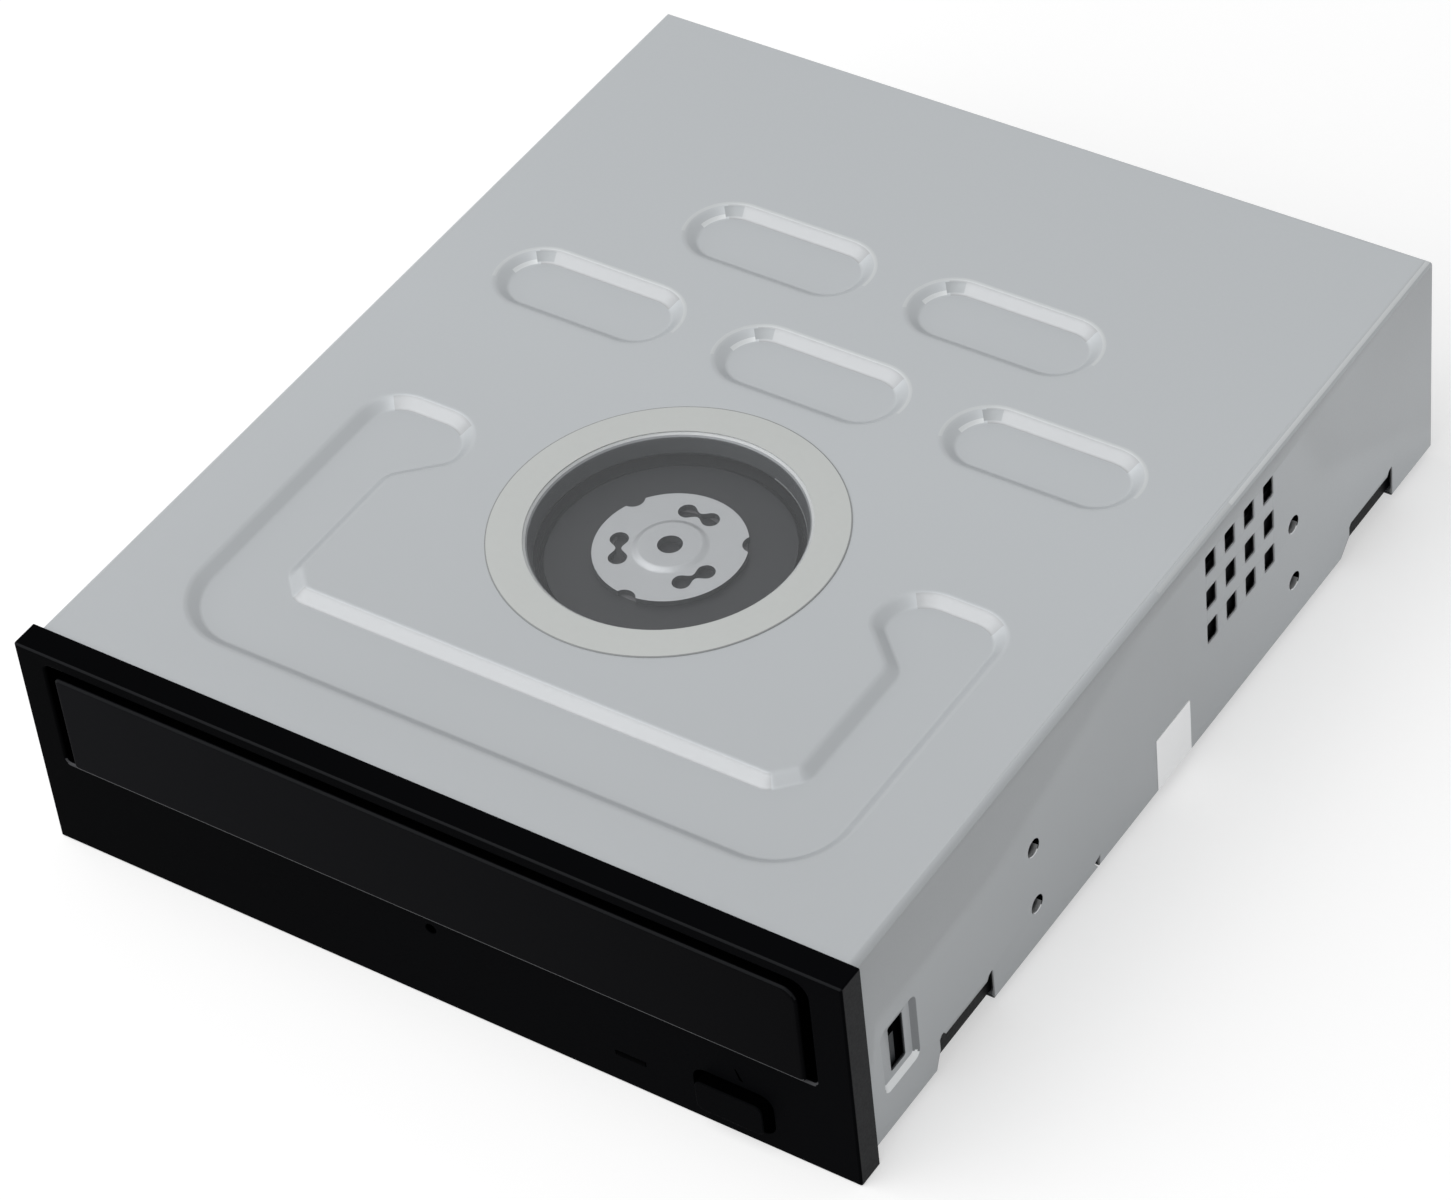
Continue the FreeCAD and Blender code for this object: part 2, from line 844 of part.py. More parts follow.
def screw(x, y, head_z, head_height, head_r, shank_r, shank_top):
    """Screw driven upwards, its head lowest, with a cross in the head."""
    body = join([post(x, y, head_z, head_z + head_height, head_r),
                 post(x, y, head_z, shank_top, shank_r)])
    cross = [box(x - 1.6, x + 1.6, y - 0.35, y + 0.35, head_z - over, head_z + 0.7),
             box(x - 0.35, x + 0.35, y - 1.6, y + 1.6, head_z - over, head_z + 0.7)]
    return carve(body, cross)


def make_cover_screws():
    return group([screw(x, y, slide_gap, seat_rise - slide_gap, 3.0, cover_screw_r, deck_z - 3)
                  for x, y in cover_screw_places])


def latch_arm(side):
    inner_x = frame_half - frame_wall + fit_gap + slide_gap
    arm_z0, arm_z1 = latch_hole_z + fit_gap, latch_hole_z + latch_hole_height - fit_gap
    nub_y0, nub_y1 = latch_hole_y + fit_gap, latch_hole_y + latch_hole_length - fit_gap
    arm = box(inner_x, inner_x + latch_thick, -panel_wall, frame_front_y - latch_to_frame, arm_z0, arm_z1)
    nub = box(inner_x + latch_thick, half_body - slide_gap, nub_y0, nub_y1, arm_z0, arm_z1)
    rear_edges = [edge for edge in nub.Edges
                  if edge.BoundBox.XMin > half_body - 2 * slide_gap and edge.BoundBox.YMin > nub_y1 - lap]
    ramp = nub.makeChamfer(latch_ramp, rear_edges)
    whole = join([arm, ramp])
    return whole if side > 0 else whole.mirror(point(0, 0), X_AXIS)


def make_front_panel():
    half = panel_width / 2
    block = box(-half, half, -panel_depth, 0, 0, panel_height)
    front_edges = [edge for edge in block.Edges if edge.BoundBox.YMax < -panel_depth + 0.01]
    block = block.makeFillet(panel_edge_r, front_edges)
    hollow = box(-half + panel_rim, half - panel_rim, -panel_depth + panel_wall, 1,
                 panel_rim, panel_height - panel_rim)
    slot_x = slot_width / 2
    tunnel = upright(-slot_x - slot_wall, slot_x + slot_wall, slot_low_z - slot_wall,
                     panel_height - panel_rim + lap, -panel_depth + inner_wall_start, 0, slot_corner_r)
    guide_half = stem_size / 2 + stem_guide_wall
    guide_x0, guide_x1 = button_x - guide_half, button_x + guide_half
    guide_z = button_z + button_height / 2 + button_flange + fit_gap + slide_gap
    button_guide = box(guide_x0, guide_x1, -lap, stem_guide_rear_y,
                       button_z - guide_half, button_z + guide_half)
    guide_arm = box(guide_x0, guide_x1, -panel_depth + inner_wall_start, stem_guide_rear_y,
                    guide_z, guide_z + stem_guide_wall)
    guide_link = box(guide_x0, guide_x1, stem_guide_rear_y - stem_guide_wall, stem_guide_rear_y,
                     button_z + stem_size / 2, guide_z + stem_guide_wall)
    shell = join([carve(block, [hollow]), tunnel, button_guide, guide_arm, guide_link]
                 + [latch_arm(side) for side in (-1, 1)])
    return carve(shell, panel_openings(slot_x))


def panel_openings(slot_x):
    front, back = -panel_depth - over, 3
    stem = stem_size / 2 + slide_gap
    return [
        upright(-slot_x, slot_x, slot_low_z, slot_top_z, front, back, slot_corner_r),
        upright(button_x - button_width / 2 - button_gap, button_x + button_width / 2 + button_gap,
                button_z - button_height / 2 - button_gap, button_z + button_height / 2 + button_gap,
                front, -panel_depth + panel_wall + lap, button_corner_r + button_gap),
        box(button_x - stem, button_x + stem, -over, back, button_z - stem, button_z + stem),
        box(window_x - window_width / 2, window_x + window_width / 2, front, back,
            window_z - window_height / 2, window_z + window_height / 2),
        rod_along_y(0, pin_hole_z, front, back, pin_hole_r),
    ]


def make_tray_door():
    half = door_width / 2
    front = -panel_depth - door_proud
    plate = upright(-half, half, door_low_z, door_top_z, front, front + door_depth, door_corner_r)
    edges = [edge for edge in plate.Edges if edge.BoundBox.YMax < front + 0.01]
    return plate.makeFillet(small_round, edges)


def disc_well(radius, floor_z):
    return post(0, spindle_y, floor_z, tray_top_z + over, radius + disc_play)


def make_disc_tray():
    body = box(-tray_half, tray_half, tray_front_y, tray_rear_y, tray_low_z, tray_top_z)
    edges = both_sides(tray_half - tray_edge_width, tray_half, tray_front_y, tray_rear_y,
                       tray_edge_low_z, tray_top_z)
    back_of_door = -panel_depth - door_proud + door_depth
    front = box(-tray_half, tray_half, back_of_door, back_of_door + tray_front_thick,
                tray_front_low_z, tray_front_top_z)
    neck = box(-tray_half, tray_half, back_of_door, tray_front_y + over, tray_low_z, tray_top_z)
    teeth = rack(rack_pitch_x, rack_front_y, rack_rear_y, rack_module, gear_backlash,
                 rack_pitch_x - 4.0, rack_gear_z + lap, tray_low_z + lap, drive_gear_y)
    body = join([body, front, neck, teeth] + edges)
    cutters = [disc_well(disc_r, well_floor_z), disc_well(small_disc_r, small_well_floor_z)]
    cutters.append(box(-slot_half, slot_half, spindle_y, tray_rear_y + over, 0, tray_top_z + over))
    cutters.append(post(0, spindle_y, 0, tray_top_z + over, slot_half))
    rear_y = spindle_y + disc_r + pocket_front_wall
    pocket = [box(side * pocket_x - pocket_half, side * pocket_x + pocket_half, rear_y, tray_rear_y - pocket_rear_wall,
                  well_floor_z, tray_top_z + over)
              for side in (-1, 1)]
    return carve(body, cutters + pocket)


def make_eject_button():
    half_w, half_h = button_width / 2, button_height / 2
    front = -panel_depth - button_proud
    inner_face = -panel_depth + panel_wall
    head = upright(button_x - half_w, button_x + half_w, button_z - half_h, button_z + half_h,
                   front, inner_face + slide_gap + 0.2, button_corner_r)
    edges = [edge for edge in head.Edges if edge.BoundBox.YMax < front + 0.01]
    head = head.makeFillet(small_round, edges)
    flange = box(button_x - half_w - button_flange, button_x + half_w + button_flange,
                 inner_face + slide_gap, inner_face + slide_gap + flange_thick,
                 button_z - half_h - button_flange, button_z + half_h + button_flange)
    stem = box(button_x - stem_size / 2, button_x + stem_size / 2, inner_face + slide_gap, stem_rear_y,
               button_z - stem_size / 2, button_z + stem_size / 2)
    return join([head, flange, stem])


def make_led_light_pipe():
    half_w, half_h = window_width / 2 - slide_gap, window_height / 2 - slide_gap / 2
    return box(window_x - half_w, window_x + half_w, -panel_depth, front_board_y - led_depth - 2 * slide_gap,
               window_z - half_h, window_z + half_h)


def make_indicator_led():
    return box(window_x - led_half_x, window_x + led_half_x, front_board_y - led_depth, front_board_y,
               window_z - led_half_z, window_z + led_half_z)


def make_front_board():
    return box(window_x - front_board_reach_in, button_x + front_board_reach_out,
               front_board_y, front_board_y + front_board_thick, front_board_z, deck_z - 2 * slide_gap)


def make_eject_switch():
    body = box(button_x - switch_half, button_x + switch_half, front_board_y - switch_depth, front_board_y,
               button_z - switch_half, button_z + switch_half)
    plunger_front = stem_rear_y + button_travel + slide_gap
    plunger = rod_along_y(button_x, button_z, plunger_front, front_board_y - switch_depth + lap, plunger_r)
    return join([body, plunger])


def make_tray_switch():
    x0, y0 = tray_half - tray_switch_inset, tray_switch_y
    top = deck_top_z + tray_switch_height
    body = box(x0, x0 + tray_switch_size, y0, y0 + tray_switch_size, deck_top_z, top)
    lever = box(x0 + 1.0, x0 + 1.8, y0 - 2.5, y0 + 5.5, top - 0.2, top + 0.8)
    return join([body, lever])


def pivot_bosses():
    bosses = []
    for side in (-1, 1):
        x0 = holder_width / 2 + move_gap + 1.5
        x1 = x0 + boss_width
        block = box(x0, x1, pivot_y - boss_half, pivot_y + boss_half, deck_z, pivot_z + boss_height)
        block = block.cut(rod_along_x(pivot_y, pivot_z, x0 - over, x1 + over, pivot_r + shaft_gap))
        bosses.append(block if side > 0 else block.mirror(point(0, 0), X_AXIS))
    return bosses


def make_loader_frame():
    walls = both_sides(frame_half - frame_wall, frame_half, frame_front_y, frame_rear_y,
                       foot_z + sheet, bridge_low_z)
    inner = frame_half - frame_wall
    rail_low_z = tray_edge_low_z - rail_height
    rail_rear_y = frame_rear_y - rail_length_margin
    rail_front_y = deck_front_y + rail_front_margin
    guides = both_sides(rail_half, inner + lap, rail_front_y, rail_rear_y, rail_low_z, tray_top_z + fit_gap)
    ledges = both_sides(rail_half - rail_ledge, rail_half + lap, rail_front_y, rail_rear_y,
                        rail_low_z, tray_edge_low_z - fit_gap)
    hooks = []
    for y in rail_hook_ys:
        hooks += both_sides(rail_half - rail_hook, inner + lap, y, y + rail_hook_length,
                            tray_top_z + fit_gap, tray_top_z + 2)
    deck = box(-inner - lap, inner + lap, deck_front_y, deck_rear_y, deck_z, deck_top_z)
    strips = both_sides(bay_width / 2, inner + lap, deck_rear_y - over, rail_rear_y, deck_z, deck_top_z)
    rear_deck = box(-inner - lap, inner + lap, holder_rear_y + 2, frame_rear_y, deck_z, deck_top_z)
    rear_wall = box(-inner - lap, inner + lap, frame_rear_y - frame_wall, frame_rear_y, deck_z, bridge_low_z)
    webs = both_sides(inner - web_thick, inner + lap, rail_front_y, frame_front_y + over,
                      deck_z, tray_edge_low_z)
    seats = []
    for x, y in bridge_screw_places:
        seats.append(box(min(abs(x) - 2.6, rail_half), frame_half, y - bridge_seat_half, y + bridge_seat_half,
                         tray_top_z + fit_gap, bridge_low_z))
    seats += [seat.mirror(point(0, 0), X_AXIS) for seat in seats[2:]]
    cover_posts = [post(x, y, seat_rise + sheet, deck_z + lap, 3.4) for x, y in cover_screw_places]
    board_posts = [post(x, y, board_top_z, deck_z + lap, board_post_r) for x, y in board_screw_places]
    rack_gear_top_z = rack_gear_z + rack_gear_height - 2 * slide_gap
    gear_posts = [post(drive_gear_x, drive_gear_y, deck_z + lap, rack_gear_top_z, gear_shaft_r),
                  post(pinion_x, pinion_y, deck_z + lap, big_gear_z + big_gear_height + lap, gear_shaft_r)]
    pulley_low_z = belt_z - pulley_height / 2
    shoulders = [post(drive_gear_x, drive_gear_y, deck_z + lap, big_gear_z - slide_gap, gear_shoulder_r),
                 post(pinion_x, pinion_y, deck_z + lap, pulley_low_z - slide_gap, gear_shoulder_r)]
    frame = join(walls + guides + ledges + hooks + [deck, rear_deck, rear_wall] + strips + webs
                 + seats[:4] + cover_posts + board_posts + gear_posts + shoulders + pivot_bosses())
    return carve(frame, frame_openings(inner))


def frame_openings(inner):
    cutters = [post(x, y, 0, deck_z - 2.9, cover_screw_r + shaft_gap) for x, y in cover_screw_places]
    cutters += [post(x, y, 0, board_top_z + 6.1, 1.05) for x, y in board_screw_places]
    cutters += [post(x, y, bridge_low_z - 2.9, bridge_low_z + over, 0.95) for x, y in bridge_screw_places]
    cutters.append(post(motor_x, motor_y, 0, deck_top_z + over, motor_pulley_r + 1.6))
    for y in (first_row_y, first_row_y + row_pitch):
        for z in (low_hole_z, low_hole_z + hole_pitch_z):
            cutters.append(rod_along_x(y, z, inner - web_thick, frame_half + over, side_hole_r + 1.0))
            cutters.append(rod_along_x(y, z, -frame_half - over, -inner + web_thick, side_hole_r + 1.0))
    cutters += bottom_holes(side_hole_r + 0.8, 0, foot_z + sheet + 4)
    return cutters


def make_loading_motor():
    top = deck_z - slide_gap
    can = post(motor_x, motor_y, top - motor_height, top, motor_r)
    shaft = post(motor_x, motor_y, top, belt_z + pulley_height / 2, motor_shaft_r)
    flats = [box(motor_x - motor_r, motor_x + motor_r, y, y + motor_r, 0, top - over)
             for y in (motor_y + motor_flat_half, motor_y - motor_flat_half - motor_r)]
    return join([carve(can, flats), shaft])


def pulley(x, y, radius, bore_r):
    """Pulley with a square groove for the belt."""
    low, high = belt_z - pulley_height / 2, belt_z + pulley_height / 2
    wheel = post(x, y, low, high, radius + pulley_rim)
    groove_half = belt_size / 2 + shaft_gap
    groove = ring(x, y, belt_z - groove_half, belt_z + groove_half, radius + 2 * pulley_rim, radius)
    return wheel.cut(groove).cut(post(x, y, low - over, high + over, bore_r))


def make_motor_pulley():
    return pulley(motor_x, motor_y, motor_pulley_r, motor_shaft_r + shaft_gap)


def make_pulley_gear():
    half_tooth_turn = math.pi / pinion_teeth if big_gear_teeth % 2 == 0 else 0.0
    facing = math.radians(pinion_angle) + math.pi
    teeth = gear(pinion_teeth, gear_module, gear_backlash, belt_z + pulley_height / 2 - lap,
                 big_gear_height + 0.6, facing + half_tooth_turn)
    teeth.translate(point(pinion_x, pinion_y, 0))
    bore_r = gear_shaft_r + shaft_gap
    wheel = pulley(pinion_x, pinion_y, pulley_r, bore_r)
    whole = join([wheel, teeth])
    return whole.cut(post(pinion_x, pinion_y, 0, deck_z + 20, bore_r))


def make_drive_gear():
    facing = math.radians(pinion_angle)
    big = gear(big_gear_teeth, gear_module, gear_backlash, big_gear_z, big_gear_height, facing)
    small = gear(rack_teeth_gear, rack_module, gear_backlash, big_gear_z + big_gear_height - lap,
                 rack_gear_height + lap, math.pi + math.pi / rack_teeth_gear)
    whole = join([big, small])
    whole.translate(point(drive_gear_x, drive_gear_y, 0))
    return whole.cut(post(drive_gear_x, drive_gear_y, 0, deck_z + 20, gear_shaft_r + shaft_gap))


def belt_band(outer):
    """Flat shape inside the belt's outer or inner line, as the hull of two circles."""
    grow = belt_size if outer else 0.0
    r0 = motor_pulley_r + shaft_gap + grow
    r1 = pulley_r + shaft_gap + grow
    dx, dy = pinion_x - motor_x, pinion_y - motor_y
    length = math.hypot(dx, dy)
    heading = math.atan2(dy, dx)
    lean = math.acos((r0 - r1) / length)
    low = belt_z - belt_size / 2
    ends = []
    for x, y, radius in ((motor_x, motor_y, r0), (pinion_x, pinion_y, r1)):
        for side in (1, -1):
            angle = heading + side * lean
            ends.append(point(x + radius * math.cos(angle), y + radius * math.sin(angle), low))
    motor_far = point(motor_x - r0 * dx / length, motor_y - r0 * dy / length, low)
    pulley_far = point(pinion_x + r1 * dx / length, pinion_y + r1 * dy / length, low)
    wire = Part.Wire([
        Part.Arc(ends[0], motor_far, ends[1]).toShape(),
        Part.LineSegment(ends[1], ends[3]).toShape(),
        Part.Arc(ends[3], pulley_far, ends[2]).toShape(),
        Part.LineSegment(ends[2], ends[0]).toShape(),
    ])
    return Part.Face(wire).extrude(point(0, 0, belt_size))


def make_drive_belt():
    return belt_band(True).cut(belt_band(False))


def cam_slot(x):
    """Slanted slot that lowers a pin by pin_drop while the slider moves by cam_travel."""
    half = cam_pin_r + move_gap / 2
    run, fall = cam_travel, pin_drop
    length = math.hypot(run, fall)
    nx, nz = fall / length * half, run / length * half
    y0 = cam_y - 1
    corners = [point(x - nx, y0, pivot_z + nz), point(x + nx, y0, pivot_z - nz),
               point(x + nx - run, y0, pivot_z - nz - fall), point(x - nx - run, y0, pivot_z + nz - fall)]
    face = Part.Face(Part.makePolygon(corners + [corners[0]]))
    body = face.extrude(point(0, cam_wall + 2, 0))
    ends = [rod_along_y(x, pivot_z, y0, y0 + cam_wall + 2, half),
            rod_along_y(x - run, pivot_z - fall, y0, y0 + cam_wall + 2, half)]
    return join([body] + ends)


def make_cam_slider():
    left = -cam_pin_x - cam_travel - cam_end
    right = cam_pin_x + cam_end
    low = pivot_z - pin_drop - cam_end
    foot_low_z = deck_top_z + slide_gap
    wall = box(left, right, cam_y, cam_y + cam_wall, low, pivot_z + boss_height)
    foot = box(left, right, cam_y - cam_foot, cam_y + lap, foot_low_z, foot_low_z + cam_foot_thick)
    stop = box(-cam_stop_half, cam_stop_half, cam_y - cam_foot, cam_y + lap, foot_low_z, pivot_z + 0.8)
    return carve(join([wall, foot, stop]), [cam_slot(-cam_pin_x), cam_slot(cam_pin_x)])


def make_traverse_holder():
    half = holder_width / 2
    top = holder_low_z + holder_height
    frame = box(-half, half, holder_front_y, holder_rear_y, holder_low_z, top)
    bay = box(-half + holder_beam, half - holder_beam, holder_front_y + holder_beam,
              holder_rear_y - holder_beam - 3, 0, top + over)
    lug_top = plate_z - damper_height
    lugs = []
    for x, y in damper_places:
        side = 1 if x > 0 else -1
        x0, x1 = sorted((x - side * lug_reach, side * (half - holder_beam + lap)))
        lugs.append(box(x0, x1, y - lug_half, y + lug_half, holder_low_z, lug_top))
    pins = [rod_along_y(side * cam_pin_x, pivot_z, cam_y - 0.2, holder_front_y + lap, cam_pin_r)
            for side in (-1, 1)]
    trunnion_end = half + move_gap + boss_width + move_gap
    trunnions = [rod_along_x(pivot_y, pivot_z, half - lap, trunnion_end, pivot_r),
                 rod_along_x(pivot_y, pivot_z, -trunnion_end, -half + lap, pivot_r)]
    holder = join([carve(frame, [bay])] + lugs + pins + trunnions)
    return carve(holder, [post(x, y, 0, lug_top + over, traverse_screw_r - lap) for x, y in damper_places])


def make_dampers():
    lug_top = plate_z - damper_height
    return group([ring(x, y, lug_top, plate_z, damper_r, traverse_screw_r + shaft_gap)
                  for x, y in damper_places])


def make_traverse_screws():
    screws = []
    for x, y in damper_places:
        head = post(x, y, plate_top_z, plate_top_z + 1.3, 2.4)
        shank = post(x, y, holder_low_z + 0.2, plate_top_z + lap, traverse_screw_r - 0.12)
        cross = [box(x - 1.2, x + 1.2, y - 0.3, y + 0.3, plate_top_z + 0.7, plate_top_z + 2),
                 box(x - 0.3, x + 0.3, y - 1.2, y + 1.2, plate_top_z + 0.7, plate_top_z + 2)]
        screws.append(carve(join([head, shank]), cross))
    return group(screws)


def make_traverse_plate():
    half = plate_width / 2
    plate = slab(rectangle(-half, half, plate_front_y, plate_rear_y, 3.0), plate_z, plate_top_z)
    window = slab(rectangle(-window_half, window_half, sled_window_front_y, sled_window_rear_y, 1.5),
                  plate_z - over, plate_top_z + over)
    clips = []
    for y0, y1 in ((rod_front_y, sled_window_front_y - 3), (sled_window_rear_y + 0.3, rod_rear_y)):
        for side in (-1, 1):
            clip = box(side * rod_x - clip_half, side * rod_x + clip_half, y0, y1,
                       plate_top_z - lap, rod_z + clip_cap)
            clips.append(clip)
    hangers = [box(screw_x - hanger_half, screw_x + hanger_half, y, y + hanger_half,
                   screw_z - hanger_half, plate_z + lap)
               for y in (sled_motor_y + sled_motor_length + 0.2, hanger_rear_y)]
    whole = join([plate] + clips + hangers)
    cutters = [window, post(0, spindle_y, plate_z - over, plate_top_z + over, 3.5)]
    cutters += [post(x, y, plate_z - over, plate_top_z + over, traverse_screw_r + shaft_gap)
                for x, y in damper_places]
    cutters += [rod_along_y(side * rod_x, rod_z, rod_front_y - over, rod_rear_y + over, rod_r)
                for side in (-1, 1)]
    cutters.append(rod_along_y(screw_x, screw_z, sled_motor_y, hanger_rear_y + 3, screw_r + shaft_gap))
    return carve(whole, cutters)


def make_spindle_stator():
    base = slab(rectangle(-stator_base_half, stator_base_half, spindle_y - stator_base_front,
                          spindle_y + stator_base_rear, stator_base_r), plate_top_z, plate_top_z + stator_base_thick)
    core_z = rotor_z + 0.4
    core_top_z = core_z + stator_height
    bearing = ring(0, spindle_y, plate_z - 0.6, core_top_z + 0.6, bearing_r, shaft_r + shaft_gap)
    tooth_end = rotor_r - rotor_wall - 0.7
    teeth = []
    for index in range(stator_teeth):
        tooth = box(bearing_r - 0.6, tooth_end, -stator_tooth_half, stator_tooth_half, core_z, core_top_z)
        tooth.rotate(point(0, 0), Z_AXIS, index * 360 / stator_teeth)
        tooth.translate(point(0, spindle_y, 0))
        teeth.append(tooth)
    core = ring(0, spindle_y, plate_top_z + 0.7, core_top_z, bearing_r + 1.2, shaft_r + over)
    whole = join([base, core] + teeth)
    return join([whole.cut(post(0, spindle_y, 0, body_top, bearing_r)), bearing])


def make_spindle_shaft():
    return post(0, spindle_y, plate_z - 0.4, disc_seat_z + hub_height - 0.3, shaft_r)


def make_rotor_can():
    can = post(0, spindle_y, rotor_z, rotor_z + rotor_height, rotor_r)
    hollow = post(0, spindle_y, rotor_z - over, rotor_z + rotor_height - rotor_top, rotor_r - rotor_wall)
    return carve(can, [hollow, post(0, spindle_y, 0, body_top, shaft_r)])


def make_turntable():
    seat = disc_seat_z - pad_thick
    plate = post(0, spindle_y, rotor_z + rotor_height, seat, turntable_r)
    cone = Part.makeCone(hub_r, hub_r - 0.9, hub_height + pad_thick, point(0, spindle_y, seat), Z_AXIS)
    body = join([plate, cone])
    return body.cut(post(0, spindle_y, 0, body_top, shaft_r))


def make_turntable_pad():
    return ring(0, spindle_y, disc_seat_z - pad_thick, disc_seat_z, turntable_r - 0.4,
                turntable_r - 0.4 - pad_width)


def make_clamp_bridge():
    half_length = bridge_length / 2
    plate = slab(rectangle(-frame_half, frame_half, spindle_y - half_length, spindle_y + half_length, 3.0),
                 bridge_low_z, bridge_top_z)
    rim = ring(0, spindle_y, bridge_top_z - lap, bridge_top_z + 1.5, film_hole_r + 1.2, puck_flange_r + 0.8)
    ribs = []
    rib_y = half_length - bridge_rib_inset
    for y0 in (spindle_y - rib_y, spindle_y + rib_y - bridge_rib_thick):
        ribs += both_sides(bridge_rib_x, bridge_rib_end_x, y0, y0 + bridge_rib_thick,
                           bridge_top_z - lap, bridge_top_z + bridge_rib_height)
    whole = join([plate, rim] + ribs)
    cutters = [post(0, spindle_y, 0, body_top, puck_r + move_gap)]
    cutters += [post(x, y, 0, body_top, 1.3) for x, y in bridge_screw_places]
    return carve(whole, cutters)


def make_bridge_screws():
    screws = []
    for x, y in bridge_screw_places:
        head = post(x, y, bridge_top_z, bridge_top_z + 1.2, 2.2)
        shank = post(x, y, bridge_low_z - 2.7, bridge_top_z + lap, 0.9)
        cross = box(x - 1.2, x + 1.2, y - 0.3, y + 0.3, bridge_top_z + 0.6, bridge_top_z + 2)
        screws.append(carve(join([head, shank]), [cross]))
    return group(screws)


def make_clamp_puck():
    hub = post(0, spindle_y, puck_low_z, puck_flange_z + lap, puck_r)
    flange = post(0, spindle_y, puck_flange_z, puck_top_z, puck_flange_r)
    recess = post(0, spindle_y, puck_low_z - over, puck_low_z + 2.0, hub_r + 0.9)
    magnet_seat = ring(0, spindle_y, puck_top_z - magnet_height - lap, puck_top_z + over,
                       magnet_r + lap, magnet_r - magnet_width - lap)
    return carve(join([hub, flange]), [recess, magnet_seat])


def make_clamp_magnet():
    return ring(0, spindle_y, puck_top_z - magnet_height - lap, puck_top_z - lap,
                magnet_r, magnet_r - magnet_width)


def yoke_window():
    """Bow-tie cut-out, drawn about the origin with its long axis along Y."""
    wide, waist = yoke_window_end, yoke_window_waist
    long, short = yoke_window_half, yoke_waist_half
    corners = [(-wide, -long), (wide, -long), (waist, -short), (waist, short),
               (wide, long), (-wide, long), (-waist, short), (-waist, -short)]
    points = [point(x, y, puck_top_z - over) for x, y in corners]
    return Part.Face(Part.makePolygon(points + [points[0]])).extrude(point(0, 0, yoke_thick + 2 * over))


def make_clamp_yoke():
    disc = post(0, spindle_y, puck_top_z, puck_top_z + yoke_thick, yoke_r)
    boss = post(0, spindle_y, puck_top_z, puck_top_z + yoke_thick + yoke_boss_rise, yoke_boss_r)
    cutters = [post(0, spindle_y, 0, body_top, yoke_hole_r)]
    for index in range(3):
        window = yoke_window()
        window.translate(point(yoke_window_x, 0, 0))
        window.rotate(point(0, 0), Z_AXIS, 90 + 120 * index)
        window.translate(point(0, spindle_y, 0))
        cutters.append(window)
        angle = math.radians(30 + 120 * index)
        nick_x = (yoke_r + yoke_nick_out) * math.cos(angle)
        nick_y = spindle_y + (yoke_r + yoke_nick_out) * math.sin(angle)
        cutters.append(post(nick_x, nick_y, puck_top_z - over, body_top, yoke_nick_r))
    return carve(join([disc, boss]), cutters)


def make_guide_rods():
    return group([rod_along_y(side * rod_x, rod_z, rod_front_y, rod_rear_y, rod_r) for side in (-1, 1)])


def make_lead_screw():
    y0 = sled_motor_y + sled_motor_length + lap
    y1 = hanger_rear_y + 2.3
    shaft = rod_along_y(screw_x, screw_z, y0, y1, screw_r)
    turns = int((y1 - y0 - 8) / screw_lead)
    core = rod_along_y(screw_x, screw_z, y0, y1, screw_r - screw_groove_depth)
    grooves = []
    for turn in range(turns):
        y = y0 + 5 + turn * screw_lead
        grooves.append(rod_along_y(screw_x, screw_z, y, y + screw_groove, screw_r + over).cut(core))
    return carve(shaft, grooves)


def make_sled_motor():
    y1 = sled_motor_y + sled_motor_length
    can = rod_along_y(screw_x, screw_z, sled_motor_y, y1, sled_motor_r)
    nose = rod_along_y(screw_x, screw_z, sled_motor_y - sled_motor_nose, sled_motor_y + lap, 2.0)
    return join([can, nose])


def make_pickup_sled():
    y0, y1 = sled_front_y, sled_front_y + sled_length
    body = box(-sled_half, sled_half, y0, y1, sled_low_z, sled_top_z)
    sleeves = []
    neck_x = sled_half - 0.5
    for y in (y0, y1 - sleeve_length):
        sleeves += [rod_along_y(side * rod_x, rod_z, y, y + sleeve_length, rod_r + sleeve_wall)
                    for side in (-1, 1)]
        sleeves += both_sides(neck_x, rod_x, y, y + sleeve_length, rod_z - rod_r, rod_z + rod_r)
    arm_top = plate_z - 0.7
    nut_y0, nut_y1 = y0 + nut_y, y0 + nut_y + nut_length
    arm = box(neck_x, screw_x + hanger_half, nut_y0, nut_y1, screw_z + screw_r - lap, arm_top)
    nut = box(screw_x - clip_half, screw_x + clip_half, nut_y0, nut_y1, screw_z - 1.2, arm_top)
    whole = join([body, arm, nut] + sleeves)
    well_z = sled_top_z - lens_well_depth
    well = post(0, lens_y, well_z, sled_top_z + over, lens_well_r)
    well = well.fuse(box(-lens_well_half_x, lens_well_half_x, lens_y - lens_well_half_y,
                         lens_y + lens_well_half_y, well_z, sled_top_z + over))
    cutters = [well]
    cutters += [rod_along_y(side * rod_x, rod_z, y0 - over, y1 + over, rod_r + shaft_gap) for side in (-1, 1)]
    cutters.append(rod_along_y(screw_x, screw_z, y0 - over, y1 + over, screw_r + shaft_gap))
    cutters.append(box(-22, 22, y0 - over, y0 + 3, rotor_z - 0.6, rotor_z + 0.6).common(
        post(0, spindle_y, rotor_z - over, rotor_z + over, rotor_r + over)))
    return carve(whole, cutters)


